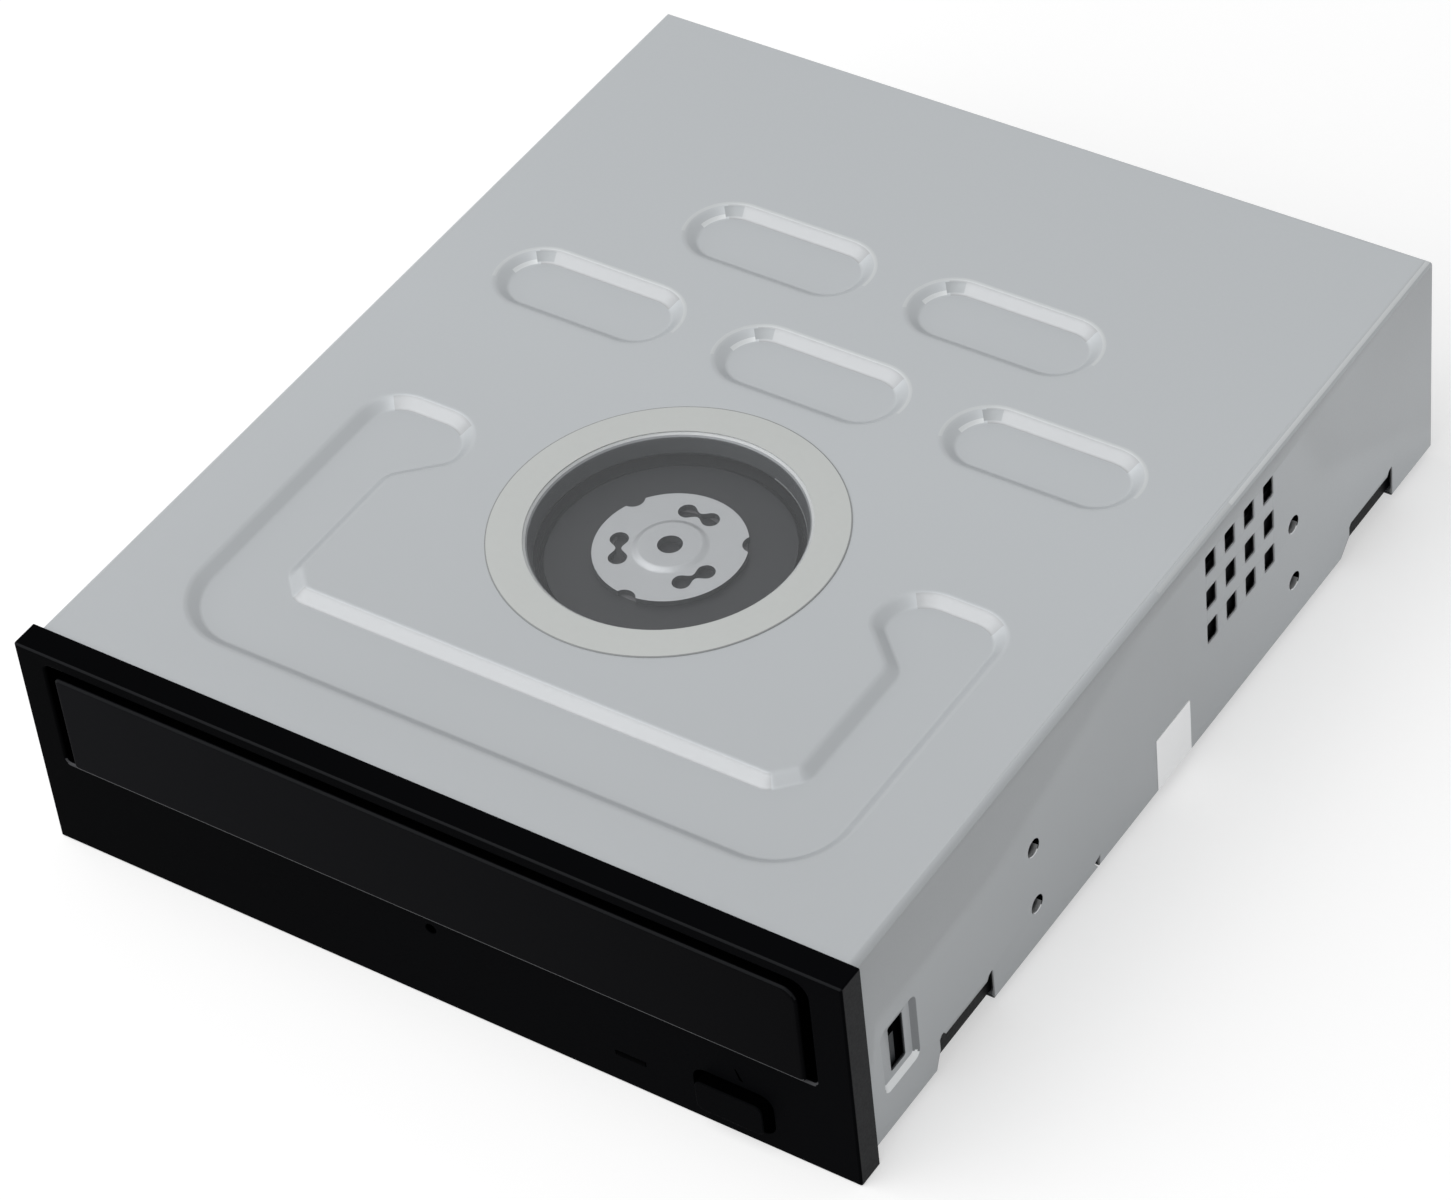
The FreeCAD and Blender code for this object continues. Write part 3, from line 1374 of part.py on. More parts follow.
def make_lens_holder():
    top = lens_top_z - 0.6
    body = slab(rectangle(-holder_half_x, holder_half_x, lens_y - holder_half_y, lens_y + holder_half_y, 1.5),
                sled_top_z - 4.3, top)
    collar = ring(0, lens_y, top - lap, lens_top_z - 0.2, lens_r + 1.3, lens_r)
    coils = both_sides(holder_half_x, holder_half_x + coil_reach, lens_y - 3.6, lens_y + 3.6,
                       sled_top_z - 4.1, sled_top_z - 0.5)
    body = body.cut(post(0, lens_y, 0, body_top, lens_r))
    return join([body, collar] + coils)


def make_objective_lens():
    disc = post(0, lens_y, lens_top_z - 2.2, lens_top_z - 0.8, lens_r)
    dome = Part.makeSphere(lens_dome_r, point(0, lens_y, lens_top_z - lens_dome_r))
    dome = dome.common(post(0, lens_y, lens_top_z - 0.9, lens_top_z + over, lens_r - 0.4))
    return join([disc, dome])


def make_lens_magnets():
    x0 = holder_half_x + coil_reach + magnet_gap_x
    return group(both_sides(x0, x0 + magnet_thick, lens_y - magnet_half_y, lens_y + magnet_half_y,
                            sled_top_z - lens_well_depth, sled_top_z - 0.4))


def make_main_board():
    board = slab(rectangle(-board_half, board_half, board_front_y, board_rear_y, 1.0), board_z, board_top_z)
    return carve(board, [post(x, y, board_z - over, board_top_z + over, board_hole_r)
                         for x, y in board_screw_places])


def make_board_screws():
    return group([screw(x, y, board_z - 1.1, 1.1, 2.2, board_screw_r, board_top_z + 6)
                  for x, y in board_screw_places])


# Each chip's middle across the board and forward of its rear edge, then its width, length and height
chip_places = [(-22.0, 65.3, 14.0, 14.0, 1.4), (18.0, 67.3, 10.0, 10.0, 1.2), (40.0, 53.3, 8.0, 12.0, 1.2),
               (-48.0, 59.3, 9.0, 6.0, 1.5), (6.0, 43.3, 20.0, 8.0, 1.2)]


def make_board_chips():
    return group([box(x - width / 2, x + width / 2, board_rear_y - ahead - length / 2,
                      board_rear_y - ahead + length / 2, board_top_z, board_top_z + height)
                  for x, ahead, width, length, height in chip_places])


def make_board_capacitors():
    left_x, left_y = capacitor_inset - board_half, board_rear_y - capacitors_ahead
    right_x, right_y = board_half - front_capacitor_inset, board_rear_y - front_capacitors_ahead
    places = [(left_x, left_y), (left_x + capacitor_pitch, left_y), (left_x, left_y + capacitor_row_pitch),
              (right_x, right_y), (right_x, right_y + capacitor_pitch)]
    return group([post(x, y, board_top_z, board_top_z + capacitor_height, capacitor_r) for x, y in places])


def shroud(x, width, height, depth, wall, floor):
    """Connector housing open to the rear, standing on the main board."""
    rear = connector_rear_y
    outer = box(x - width / 2, x + width / 2, rear - depth, rear, board_top_z, board_top_z + height)
    hollow = box(x - width / 2 + wall, x + width / 2 - wall, rear - depth + floor, rear + over,
                 board_top_z + wall, board_top_z + height - wall)
    return outer, hollow, rear


def pin_rows(x, z, columns, rows, pitch):
    return [(x + (column - (columns - 1) / 2) * pitch, z + (row - (rows - 1) / 2) * pitch)
            for column in range(columns) for row in range(rows)]


def header_pin_places():
    return pin_rows(header_x, board_top_z + header_height / 2, header_pins, 2, pin_pitch)


def power_pin_places():
    return pin_rows(power_x, board_top_z + power_height / 2, 4, 1, power_pitch)


def jumper_pin_places():
    return pin_rows(jumper_x, board_top_z + pin_pitch, 3, 2, pin_pitch)


def audio_pin_places():
    return pin_rows(audio_x, board_top_z + 2.9, audio_pins, 1, pin_pitch)


def square_pins(places, y0, y1):
    half = pin_size / 2
    return [box(x - half, x + half, y0, y1, z - half, z + half) for x, z in places]


def round_pins(places, y0, y1, radius):
    return [rod_along_y(x, z, y0, y1, radius) for x, z in places]


def make_header_shroud():
    outer, hollow, rear = shroud(header_x, header_width, header_height, header_depth,
                                 header_wall, header_floor)
    top = board_top_z + header_height
    key = box(header_x - header_key_half, header_x + header_key_half, rear - header_key_depth, rear + over,
              top - header_wall - over, top + over)
    pins = square_pins(header_pin_places(), rear - header_depth - over, rear)
    return carve(outer, [hollow, key] + pins)


def make_header_pins():
    rear = connector_rear_y
    return group(square_pins(header_pin_places(), rear - header_depth - pin_tail, rear - 2.6))


def make_power_shroud():
    outer, hollow, rear = shroud(power_x, power_width, power_height, power_depth, power_wall, header_floor)
    corners = []
    for side in (-1, 1):
        corner_x = power_x + side * (power_width / 2 - power_wall)
        top = board_top_z + power_height - power_wall
        wedge = Part.Face(Part.makePolygon([
            point(corner_x, 0, top), point(corner_x - side * power_bevel, 0, top),
            point(corner_x, 0, top - power_bevel), point(corner_x, 0, top),
        ]))
        block = wedge.extrude(point(0, power_depth - header_floor, 0))
        block.translate(point(0, rear - power_depth + header_floor, 0))
        corners.append(block)
    shell = join([outer.cut(hollow)] + corners)
    return carve(shell, round_pins(power_pin_places(), rear - power_depth - over, rear, power_pin_r))


def make_power_pins():
    rear = connector_rear_y
    return group(round_pins(power_pin_places(), rear - power_depth - pin_tail, rear - 3.2, power_pin_r))


def make_jumper_block():
    rear = connector_rear_y
    block_rear = rear - jumper_inset
    block = box(jumper_x - 1.5 * pin_pitch, jumper_x + 1.5 * pin_pitch, block_rear - jumper_depth, block_rear,
                board_top_z, board_top_z + 2 * pin_pitch)
    return carve(block, square_pins(jumper_pin_places(), block_rear - jumper_depth - over, rear))


def make_jumper_pins():
    rear = connector_rear_y
    block_front = rear - jumper_inset - jumper_depth
    return group(square_pins(jumper_pin_places(), block_front - pin_tail, rear - 0.4))


def make_audio_header():
    outer, hollow, rear = shroud(audio_x, audio_pins * pin_pitch + audio_side, audio_height, audio_depth,
                                audio_wall, audio_floor)
    return carve(outer, [hollow] + square_pins(audio_pin_places(), rear - audio_depth - over, rear))


def make_audio_pins():
    rear = connector_rear_y
    return group(square_pins(audio_pin_places(), rear - audio_depth - pin_tail, rear - 1.6))


def make_board_ribbon():
    """Flat cable from the front board back to the main board, lying above the bottom cover."""
    front, rear = front_board_y + front_board_thick, board_front_y - 2
    x0, x1 = ribbon_x, ribbon_x + ribbon_width
    low_top_z = ribbon_low_z + ribbon_thick
    run = box(x0, x1, front, rear, ribbon_low_z, low_top_z)
    riser = box(x0, x1, front, front + ribbon_thick, ribbon_low_z, ribbon_start_z)
    ramp = box(x0, x1, rear - ribbon_thick, rear, ribbon_low_z, board_top_z + ribbon_thick)
    tail = box(x0, x1, rear - ribbon_thick, rear + 4, board_top_z, board_top_z + ribbon_thick)
    return join([run, riser, ramp, tail])


def make_ribbon_socket():
    y0 = board_front_y + 2
    return box(ribbon_x - 1, ribbon_x + ribbon_width + 1, y0, y0 + 4,
               board_top_z + ribbon_thick, board_top_z + 2.6)


makers = {
    "top_cover": make_top_cover,
    "dust_film": make_dust_film,
    "side_label": make_side_label,
    "bottom_cover": make_bottom_cover,
    "cover_screws": make_cover_screws,
    "front_panel": make_front_panel,
    "tray_door": make_tray_door,
    "disc_tray": make_disc_tray,
    "eject_button": make_eject_button,
    "led_light_pipe": make_led_light_pipe,
    "indicator_led": make_indicator_led,
    "front_board": make_front_board,
    "eject_switch": make_eject_switch,
    "tray_switch": make_tray_switch,
    "loader_frame": make_loader_frame,
    "loading_motor": make_loading_motor,
    "motor_pulley": make_motor_pulley,
    "drive_belt": make_drive_belt,
    "pulley_gear": make_pulley_gear,
    "drive_gear": make_drive_gear,
    "cam_slider": make_cam_slider,
    "traverse_holder": make_traverse_holder,
    "dampers": make_dampers,
    "traverse_screws": make_traverse_screws,
    "traverse_plate": make_traverse_plate,
    "spindle_stator": make_spindle_stator,
    "spindle_shaft": make_spindle_shaft,
    "rotor_can": make_rotor_can,
    "turntable": make_turntable,
    "turntable_pad": make_turntable_pad,
    "clamp_bridge": make_clamp_bridge,
    "bridge_screws": make_bridge_screws,
    "clamp_puck": make_clamp_puck,
    "clamp_magnet": make_clamp_magnet,
    "clamp_yoke": make_clamp_yoke,
    "guide_rods": make_guide_rods,
    "lead_screw": make_lead_screw,
    "sled_motor": make_sled_motor,
    "pickup_sled": make_pickup_sled,
    "lens_magnets": make_lens_magnets,
    "lens_holder": make_lens_holder,
    "objective_lens": make_objective_lens,
    "main_board": make_main_board,
    "board_screws": make_board_screws,
    "board_chips": make_board_chips,
    "board_capacitors": make_board_capacitors,
    "header_shroud": make_header_shroud,
    "header_pins": make_header_pins,
    "power_shroud": make_power_shroud,
    "power_pins": make_power_pins,
    "jumper_block": make_jumper_block,
    "jumper_pins": make_jumper_pins,
    "audio_header": make_audio_header,
    "audio_pins": make_audio_pins,
    "board_ribbon": make_board_ribbon,
    "ribbon_socket": make_ribbon_socket,
}

os.makedirs("parts", exist_ok=True)
for name, maker in makers.items():
    shape = maker()
    shape.translate(point(0, -origin_y, 0))
    state = "" if shape.isValid() else "NOT VALID"
    print(name, len(shape.Solids), "solids", round(shape.Volume, 1), "mm3", state)
    shape.exportStep("parts/" + name + ".step")
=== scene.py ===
import json
import math

import bmesh
import bpy
from mathutils import Matrix, Vector
from mathutils.geometry import delaunay_2d_cdt


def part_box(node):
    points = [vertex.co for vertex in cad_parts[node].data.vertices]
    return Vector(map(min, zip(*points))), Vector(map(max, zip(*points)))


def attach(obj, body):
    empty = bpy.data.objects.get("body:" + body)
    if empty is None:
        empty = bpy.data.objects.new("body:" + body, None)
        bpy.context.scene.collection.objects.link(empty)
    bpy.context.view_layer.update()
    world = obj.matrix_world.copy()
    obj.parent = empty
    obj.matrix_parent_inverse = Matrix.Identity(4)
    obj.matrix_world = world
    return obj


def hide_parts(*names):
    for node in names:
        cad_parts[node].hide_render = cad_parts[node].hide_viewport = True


# The looks of a half-height disc drive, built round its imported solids.
# Shapes are drawn in millimetres, with y = 0 at the back face of the front panel and z = 0 at the
# base, and become metres in the frame of the solids when a piece is made.

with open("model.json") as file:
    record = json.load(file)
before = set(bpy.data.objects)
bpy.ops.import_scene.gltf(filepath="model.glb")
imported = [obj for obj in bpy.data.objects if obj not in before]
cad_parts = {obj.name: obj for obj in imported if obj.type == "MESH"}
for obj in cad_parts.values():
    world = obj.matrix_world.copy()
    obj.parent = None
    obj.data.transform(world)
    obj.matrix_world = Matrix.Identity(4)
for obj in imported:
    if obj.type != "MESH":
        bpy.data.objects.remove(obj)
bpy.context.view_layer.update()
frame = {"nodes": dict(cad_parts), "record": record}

MM = 0.001
cover_low, cover_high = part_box("top_cover")
panel_low, panel_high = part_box("front_panel")
door_low, door_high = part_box("tray_door")
button_low, button_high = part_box("eject_button")
film_low, film_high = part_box("dust_film")
label_low, label_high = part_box("side_label")
pipe_low, pipe_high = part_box("led_light_pipe")
yoke_low, yoke_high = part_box("clamp_yoke")
panel_back = cover_low.y

# Steps along curves
corner_steps = 6
small_corner_steps = 3
dimple_corner_steps = 16
channel_corner_steps = 12
door_corner_steps = 10
circle_steps = 48
hole_steps = 32
ring_steps = 128
round_steps = 6
fold_steps = 8
slope_steps = 3
edge_steps = 5
rim_steps = 4
yoke_steps = 24
right_angle = math.pi / 2

# Least sizes in millimetres that keep points and lines apart, and the gap in metres that is welded
hair = 0.01
least_radius = 0.05
same_point = 1e-6
weld_gap = 2e-6

# Limits that choose faces to paint: distances in millimetres, then parts of a normal of length 1
near = 0.1
touching = 0.05
facing = 0.9
leaning = 0.25
edge_front = (-0.97, -0.2)

# Case, from the solid top cover
half_body = cover_high.x / MM
body_depth = (cover_high.y - cover_low.y) / MM
body_top = cover_high.z / MM
foot_z = cover_low.z / MM
sheet = 0.5
top_bend = 1.2
flat_half = half_body - top_bend
flat_rear_y = body_depth - top_bend
fold_low_z = body_top - top_bend
foot_bend = 0.4
foot_width = 6.6
rear_split_z = 16.6

# Right fold of the case: the parts of its normal that get a painted highlight, and the stretch where that
# painted highlight is weaker
fold_light_x = (0.3, 0.85)
fold_light_z = 0.3
dim_front_y = 86.0
dim_rear_y = 108.0

# Round hole with a drawn rim, and the film on it
spindle_y = ((film_low.y + film_high.y) / 2 - panel_back) / MM
film_r = film_high.x / MM
film_hole_r = 22.4
film_under = 0.05
film_over = 0.02
film_bevel = 0.2
film_bevel_z = 0.05
film_edge_shade_width = 0.15
rim_start = 0.25
rim_round = 1.1
rim_lean = 78.0
rim_depth = 3.4
rim_lip = 0.2
rim_mid_shade = 0.5
rim_light_x = 6.0
rim_light_rise = 0.4

# Mounting holes. A ring of a side hole is so much wider than the hole, and so deep
side_hole_r = 1.5
side_hole_rings = ((0.3, 0), (0.1, 0.05), (0.0, 0.15), (0.0, 0.7), (0.0, 1.3))
side_hole_light_z = 0.45
bottom_hole_r = 1.5
first_row_y = 47.4
row_pitch = 79.25
rows_y = (first_row_y, first_row_y + row_pitch)
low_hole_z = 9.9
hole_pitch_z = 11.94
holes_z = (low_hole_z, low_hole_z + hole_pitch_z)
bottom_pitch_x = 139.7

# Sunk shapes in the top
emboss_depth = 1.4
emboss_start = -0.8
emboss_angle = 36.0
emboss_top_r = 2.0
emboss_floor_r = 1.0
dimple_length = 33.4
dimple_width = 14.2
dimple_rear_y = 127.3
dimple_front_y = 103.6
dimple_pitch_x = 42.3
dimples_y = dimple_front_y - dimple_width
channel_half = 58.8
channel_front_y = 10.3
channel_rear_y = 70.3
channel_corner_r = 12.5
channel_rear_r = 7.0
channel_bend_r = 3.0
channel_arm = 13.2
channel_inner_y = 26.2
hook_reach_x = 38.0
hook_width = 9.7
hook_slant = 7.2
hook_rear_r = 7.6
hook_low_r = 4.4
island_chamfer = 3.5
island_chamfer_r = 1.5
slope_most_flat = 0.65
slope_least_up = 0.7

# Openings of the side walls
vent_columns = 4
vent_rows = 3
vent_length = 3.2
vent_height = 4.1
vent_pitch_y = 6.0
vent_pitch_z = 7.0
vent_first_y = 99.3
vent_first_z = 19.1
vent_corner_r = 0.3
latch_hole_y = 7.7
latch_hole_length = 3.9
latch_hole_z = 11.5
latch_hole_height = 9.2
latch_hole_r = 0.4
pad_depth = 0.8
pad_slope = 1.2
pad_front_y = 4.6
pad_rear_y = 14.4
pad_low_z = 9.2
pad_top_z = 22.6
pad_corner_r = 1.6

# Notches of the foot, and the cut tab between them with a sheet of painted shade behind it
notch_top_z = 7.1
front_notch = dict(start=19.3, end=34.4, slant=1.3, slant_z=5.2, relief=0.8)
rear_notch = dict(start=144.7, end=159.3, slant=2.7, slant_z=4.6, relief=0.0)
notch_relief = 1.2
relief_ramp = 0.5
peak_inset = 0.3
peak_rise = 1.1
peak_side_rise = 0.8
cut_corner = 0.6
tab_end_y = 65.5
tab_cut = 1.8
tab_slant = 0.3
tab_top_z = 4.0
tab_shade_inset = 1.1
tab_shade_y = (tab_end_y - 4, tab_end_y + 2)
tab_shade_z = (foot_z + 0.6, tab_top_z + 2)

# Front panel
panel_half = panel_high.x / MM
panel_height = panel_high.z / MM
panel_front = (panel_low.y - panel_back) / MM
panel_wall = 2.5
panel_inner = panel_front + panel_wall
panel_rim = 1.8
panel_rim_corner_r = 0.5
panel_corner_r = 0.3
panel_edge_r = 0.45
panel_margin = 0.5
panel_edge_reach = 1.0
slot_half = 68.85
slot_low_z = 18.8
slot_top_z = 39.5
slot_right_x = 68.15
slot_low_r = 0.8
slot_left_r = 1.2
slot_right_r = 3.0
slot_rim_r = 0.45
slot_highlight_z = 0.17
tunnel_wall = 1.5
tunnel_gap = 0.1
pin_hole_r = 0.95
pin_hole_z = 16.4
pin_rim_r = 0.12
pipe_gap_x = 0.1
pipe_gap_z = 0.05
pipe_corner_r = 0.15
small_rim_r = 0.1
mark_x = 53.2
mark_low_z = 12.0
mark_high_z = 15.5
mark_width = 1.8
mark_depth = 0.3
mark_tip_x = 0.7
mark_tip_z = 0.2
mark_corner_r = 0.1
mark_rim_r = 0.05

# Latches of the panel, inside the case
latch_front_y = -2.3
latch_end_y = 13.2
latch_low_z = 8.5
latch_back = 1.6
latch_face = 0.6
nub_depth = 1.7
nub_front_y = 8.6
nub_rear_y = 10.6
nub_low_z = 11.0
nub_top_z = 17.4
nub_bevel_x = 0.5
nub_bevel_y = 0.4
nub_inside = 0.2

# Door of the tray
door_low_r = 0.8
door_left_r = 0.8
door_right_r = 2.5
door_edge_r = 0.5
door_highlight_z = -0.1
door_highlight_y = -0.8

# Button, with the flange that holds it behind the panel
button_corner_r = 1.2
button_edge_r = 0.2
button_gap = 1.1
button_flange = 1.8
flange_corner_r = 0.3
flange_back = (0.2, 1.0)
stem_half = 1.5
stem_corner_r = 0.2

# Clamp plate under the film
yoke_r = 12.15
yoke_nick_r = 1.9
yoke_nick_out = 0.8
yoke_nick_angle = 30
yoke_hole_r = 2.0
yoke_boss_r = 6.2
yoke_boss_edge = 1.4
yoke_boss_rise = 0.5
yoke_window_x = 8.0
yoke_window_angle = 90
yoke_window_steps = 12
third_turn = 120
window_half = 3.6
window_end = 1.5
window_waist = 0.45
window_neck = 1.9

# Label, the angles where shading breaks, and the edges of the solids that stay
label_corner_r = 0.3
steel_angle = 35
plastic_angle = 50
edge_width = 0.12
edge_segments = 2
edge_angle = 40

# Finishes: noise, the parts of it that run over the whole change, relief, and where colours run to others
fine_detail = 3.0
broad_detail = 2.0
shade_ends = (0.6, 1.4)
gloss_ends = (0.3, 0.7)
coat_roughness = 0.2
least_roughness = 0.02
relief_height = 0.25
fade_front_y = 90.0
fade_rear_y = 145.0

# Floor in millimetres, light, and a camera in metres and degrees
floor_half = 1500.0
floor_drop = 0.05
floor_grey = 0.62
floor_glow = 0.5
sky_light = 0.35
sky_glow = 0.65
camera_place = (0.3633, -0.4750, 0.5676)
camera_way = (-0.4493, 0.5776, -0.6816)
camera_roll = -6.89
camera_sensor = 36.0
camera_lens = 127.81


# Materials

def new_node(nodes, kind, **values):
    """Node with values for its inputs. An underscore in an input's name stands for a space."""
    made = nodes.new(kind)
    for name, value in values.items():
        made.inputs[name.replace("_", " ")].default_value = value
    return made


def mix_color(nodes, factor, last):
    """Node that runs to the last colour as its factor grows."""
    made = nodes.new("ShaderNodeMix")
    made.data_type = "RGBA"
    made.inputs["B"].default_value = [*last, 1]
    nodes.id_data.links.new(factor, made.inputs["Factor"])
    return made


def material(name, color, roughness, metallic=0.0, grain=900.0, bump=0.0, tint=0.04, spread=0.06,
             stretch=(1, 1, 1), specular=0.5, coat=0.0, alpha=1.0, broad=25.0, fade=None):
    """Procedural finish: broad and fine colour change, uneven gloss and a fine relief.

    With fade given as an axis, two places along it and a colour, the colour runs to that one between them;
    the fades here are painted light and shade.
    """
    made = bpy.data.materials.new(name)
    made.use_nodes = True
    nodes, links = made.node_tree.nodes, made.node_tree.links
    shader = nodes["Principled BSDF"]
    plain = {"Metallic": metallic, "Specular IOR Level": specular, "Coat Weight": coat,
             "Coat Roughness": coat_roughness, "Alpha": alpha}
    for key, value in plain.items():
        shader.inputs[key].default_value = value
    place = nodes.new("ShaderNodeTexCoord").outputs["Object"]
    scaled = new_node(nodes, "ShaderNodeMapping", Scale=stretch)
    links.new(place, scaled.inputs["Vector"])
    fine = new_node(nodes, "ShaderNodeTexNoise", Scale=grain, Detail=fine_detail)
    links.new(scaled.outputs["Vector"], fine.inputs["Vector"])
    wide = new_node(nodes, "ShaderNodeTexNoise", Scale=broad, Detail=broad_detail)
    links.new(place, wide.inputs["Vector"])
    both = nodes.new("ShaderNodeMath")
    both.operation = "ADD"
    links.new(fine.outputs["Fac"], both.inputs[0])
    links.new(wide.outputs["Fac"], both.inputs[1])
    shade = new_node(nodes, "ShaderNodeMapRange", From_Min=shade_ends[0], From_Max=shade_ends[1])
    links.new(both.outputs["Value"], shade.inputs["Value"])
    change = mix_color(nodes, shade.outputs["Result"], [min(1, c * (1 + tint)) for c in color])
    change.inputs["A"].default_value = [c * (1 - tint) for c in color] + [1]
    if fade:
        axis, start, end, last = fade
        split = nodes.new("ShaderNodeSeparateXYZ")
        links.new(place, split.inputs[0])
        along = new_node(nodes, "ShaderNodeMapRange", From_Min=start, From_Max=end)
        links.new(split.outputs[axis], along.inputs["Value"])
        first = change.outputs["Result"]
        change = mix_color(nodes, along.outputs["Result"], last)
        links.new(first, change.inputs["A"])
    links.new(change.outputs["Result"], shader.inputs["Base Color"])
    low, high = max(least_roughness, roughness - spread), min(1.0, roughness + spread)
    gloss = new_node(nodes, "ShaderNodeMapRange", From_Min=gloss_ends[0], From_Max=gloss_ends[1],
                     To_Min=low, To_Max=high)
    links.new(fine.outputs["Fac"], gloss.inputs["Value"])
    links.new(gloss.outputs["Result"], shader.inputs["Roughness"])
    if bump:
        relief = new_node(nodes, "ShaderNodeBump", Strength=bump, Distance=relief_height / grain)
        links.new(fine.outputs["Fac"], relief.inputs["Height"])
        links.new(relief.outputs["Normal"], shader.inputs["Normal"])
    return made


# Painted light and shade: colours run over the width of the panel, along the front half of the top, lighter
# to the rear, and along the right side behind its middle, lighter to the rear
shading_across = ("X", -half_body * MM, half_body * MM)
shading_along_top = ("Y", panel_back, panel_back + fade_front_y * MM)
shading_along_side = ("Y", panel_back + fade_front_y * MM, panel_back + fade_rear_y * MM)

PALETTE = {
    # Top steel with painted shade: darker at the front, lighter towards the rear
    "case_steel": dict(color=(0.435, 0.453, 0.468), fade=(*shading_along_top, (0.478, 0.50, 0.517)), roughness=0.42,
                       metallic=0.45, grain=2600, bump=0.04, tint=0.02, spread=0.04),
    "inner_steel": dict(color=(0.45, 0.465, 0.48), roughness=0.4, metallic=0.5, grain=1800, bump=0.06),
    "bright_steel": dict(color=(0.62, 0.63, 0.64), roughness=0.22, metallic=1.0, grain=3000, bump=0.03),
    # Panel black with painted light: lighter at the left end, darker towards the right
    "panel_black": dict(color=(0.0055, 0.0057, 0.0068), fade=(*shading_across, (0.0012, 0.0012, 0.0016)),
                        roughness=0.45, grain=3200, bump=0.1, tint=0.1, spread=0.05, specular=0.01),
    "frame_black": dict(color=(0.009, 0.0093, 0.01), roughness=0.5, grain=1500, bump=0.15, tint=0.12,
                        specular=0.08),
    "tray_black": dict(color=(0.012, 0.012, 0.013), roughness=0.48, grain=2400, bump=0.15, tint=0.1,
                       specular=0.2),
    "gear_white": dict(color=(0.78, 0.76, 0.70), roughness=0.4, grain=700, bump=0.03),
    "puck_grey": dict(color=(0.010, 0.011, 0.013), roughness=0.5, grain=1500, bump=0.05, tint=0.02,
                      specular=0.3),
    "film_clear": dict(color=(0.62, 0.64, 0.66), roughness=0.3, grain=500, alpha=0.062, tint=0.01,
                       specular=0.2),
    "window_clear": dict(color=(0.0003, 0.0003, 0.0004), roughness=0.3, grain=800, specular=0.002),
    "label_white": dict(color=(0.86, 0.865, 0.87), roughness=0.5, grain=1200, bump=0.02, tint=0.01,
                        metallic=0.9),
    "belt_rubber": dict(color=(0.012, 0.012, 0.012), roughness=0.75, grain=2000, bump=0.2),
    "pad_rubber": dict(color=(0.03, 0.03, 0.03), roughness=0.8, grain=2500, bump=0.3),
    "magnet_grey": dict(color=(0.10, 0.10, 0.105), roughness=0.55, metallic=0.3, grain=2500, bump=0.2),
    "board_green": dict(color=(0.012, 0.10, 0.035), roughness=0.35, grain=600, bump=0.06, tint=0.15,
                        coat=0.3),
    "chip_black": dict(color=(0.015, 0.015, 0.016), roughness=0.55, grain=3000, bump=0.2),
    "pin_brass": dict(color=(0.72, 0.55, 0.26), roughness=0.25, metallic=1.0, grain=2500),
    "socket_white": dict(color=(0.70, 0.68, 0.60), roughness=0.45, grain=900, bump=0.05),
    "socket_black": dict(color=(0.013, 0.013, 0.014), roughness=0.45, grain=1500, bump=0.12),
    "ribbon_white": dict(color=(0.68, 0.70, 0.74), roughness=0.4, grain=900, stretch=(6, 1, 1), tint=0.08),
    "sled_metal": dict(color=(0.34, 0.35, 0.36), roughness=0.5, metallic=0.85, grain=1400, bump=0.2,
                       tint=0.08),
    "lens_glass": dict(color=(0.20, 0.28, 0.42), roughness=0.05, grain=500, coat=1.0),
    "copper": dict(color=(0.62, 0.28, 0.13), roughness=0.3, metallic=1.0, grain=2200, stretch=(1, 1, 8),
                   bump=0.2),
    "can_silver": dict(color=(0.66, 0.67, 0.68), roughness=0.3, metallic=1.0, grain=2000, bump=0.04),
}
finishes = {name: material(name, **values) for name, values in PALETTE.items()}

# Finishes with painted highlights, reflection, light and shade for edges, nubs, slopes, sides, rims, holes
# and gaps, then the film's edge shade and the cream of its glued ring
plastic = dict(grain=2500, tint=0.1)
steel = dict(metallic=0.45, grain=2600)
# Painted highlight on the slot's lower lip and the door's lower edge
painted_edge_highlight = material("painted_edge_highlight", (0.045, 0.046, 0.05), 0.4, specular=0.15, **plastic)
# Weaker painted highlight on the upper rounded edges of the panel and the door
dim_edge_highlight = material("dim_edge_highlight", (0.007, 0.0075, 0.0085), 0.45, specular=0.05, **plastic)
# Painted shade on the walls of holes and gaps, and on the sides of the door and the button
gap_shade = material("gap_shade", (0.0004, 0.0004, 0.0005), 0.8, specular=0.0, **plastic)
# Painted light on the flat sides of the latch nubs
nub_painted_light = material("nub_painted_light", (0.03, 0.034, 0.038), 0.5, specular=0.3, **plastic)
# Painted reflection on the right end face of the panel
end_painted_reflection = material("end_painted_reflection", (0.010, 0.0105, 0.012), 0.5, grain=2500, tint=0.15, specular=0.07)
# Painted shade: darker copy of the panel black for the panel and the button, with a fade over its width
shaded_panel_black = material("shaded_panel_black", (0.0018, 0.0019, 0.0022), 0.45, grain=3200, bump=0.1, tint=0.1,
                      spread=0.05, specular=0.004, fade=(*shading_across, (0.0024, 0.0025, 0.003)))
# Painted light on the right side wall, growing lighter towards the rear
side_painted_light = material("side_painted_light", (0.465, 0.485, 0.50), 0.42, bump=0.04, tint=0.02, spread=0.04,
                      fade=(*shading_along_side, (0.575, 0.60, 0.62)), **steel)
# Painted shade on slopes that face the front, and on cut edges of the right side wall
front_slope_shade = material("front_slope_shade", (0.38, 0.39, 0.40), 0.42, bump=0.04, tint=0.02, **steel)
slope_shade = material("slope_shade", (0.31, 0.325, 0.335), 0.45, bump=0.04, tint=0.02, **steel)
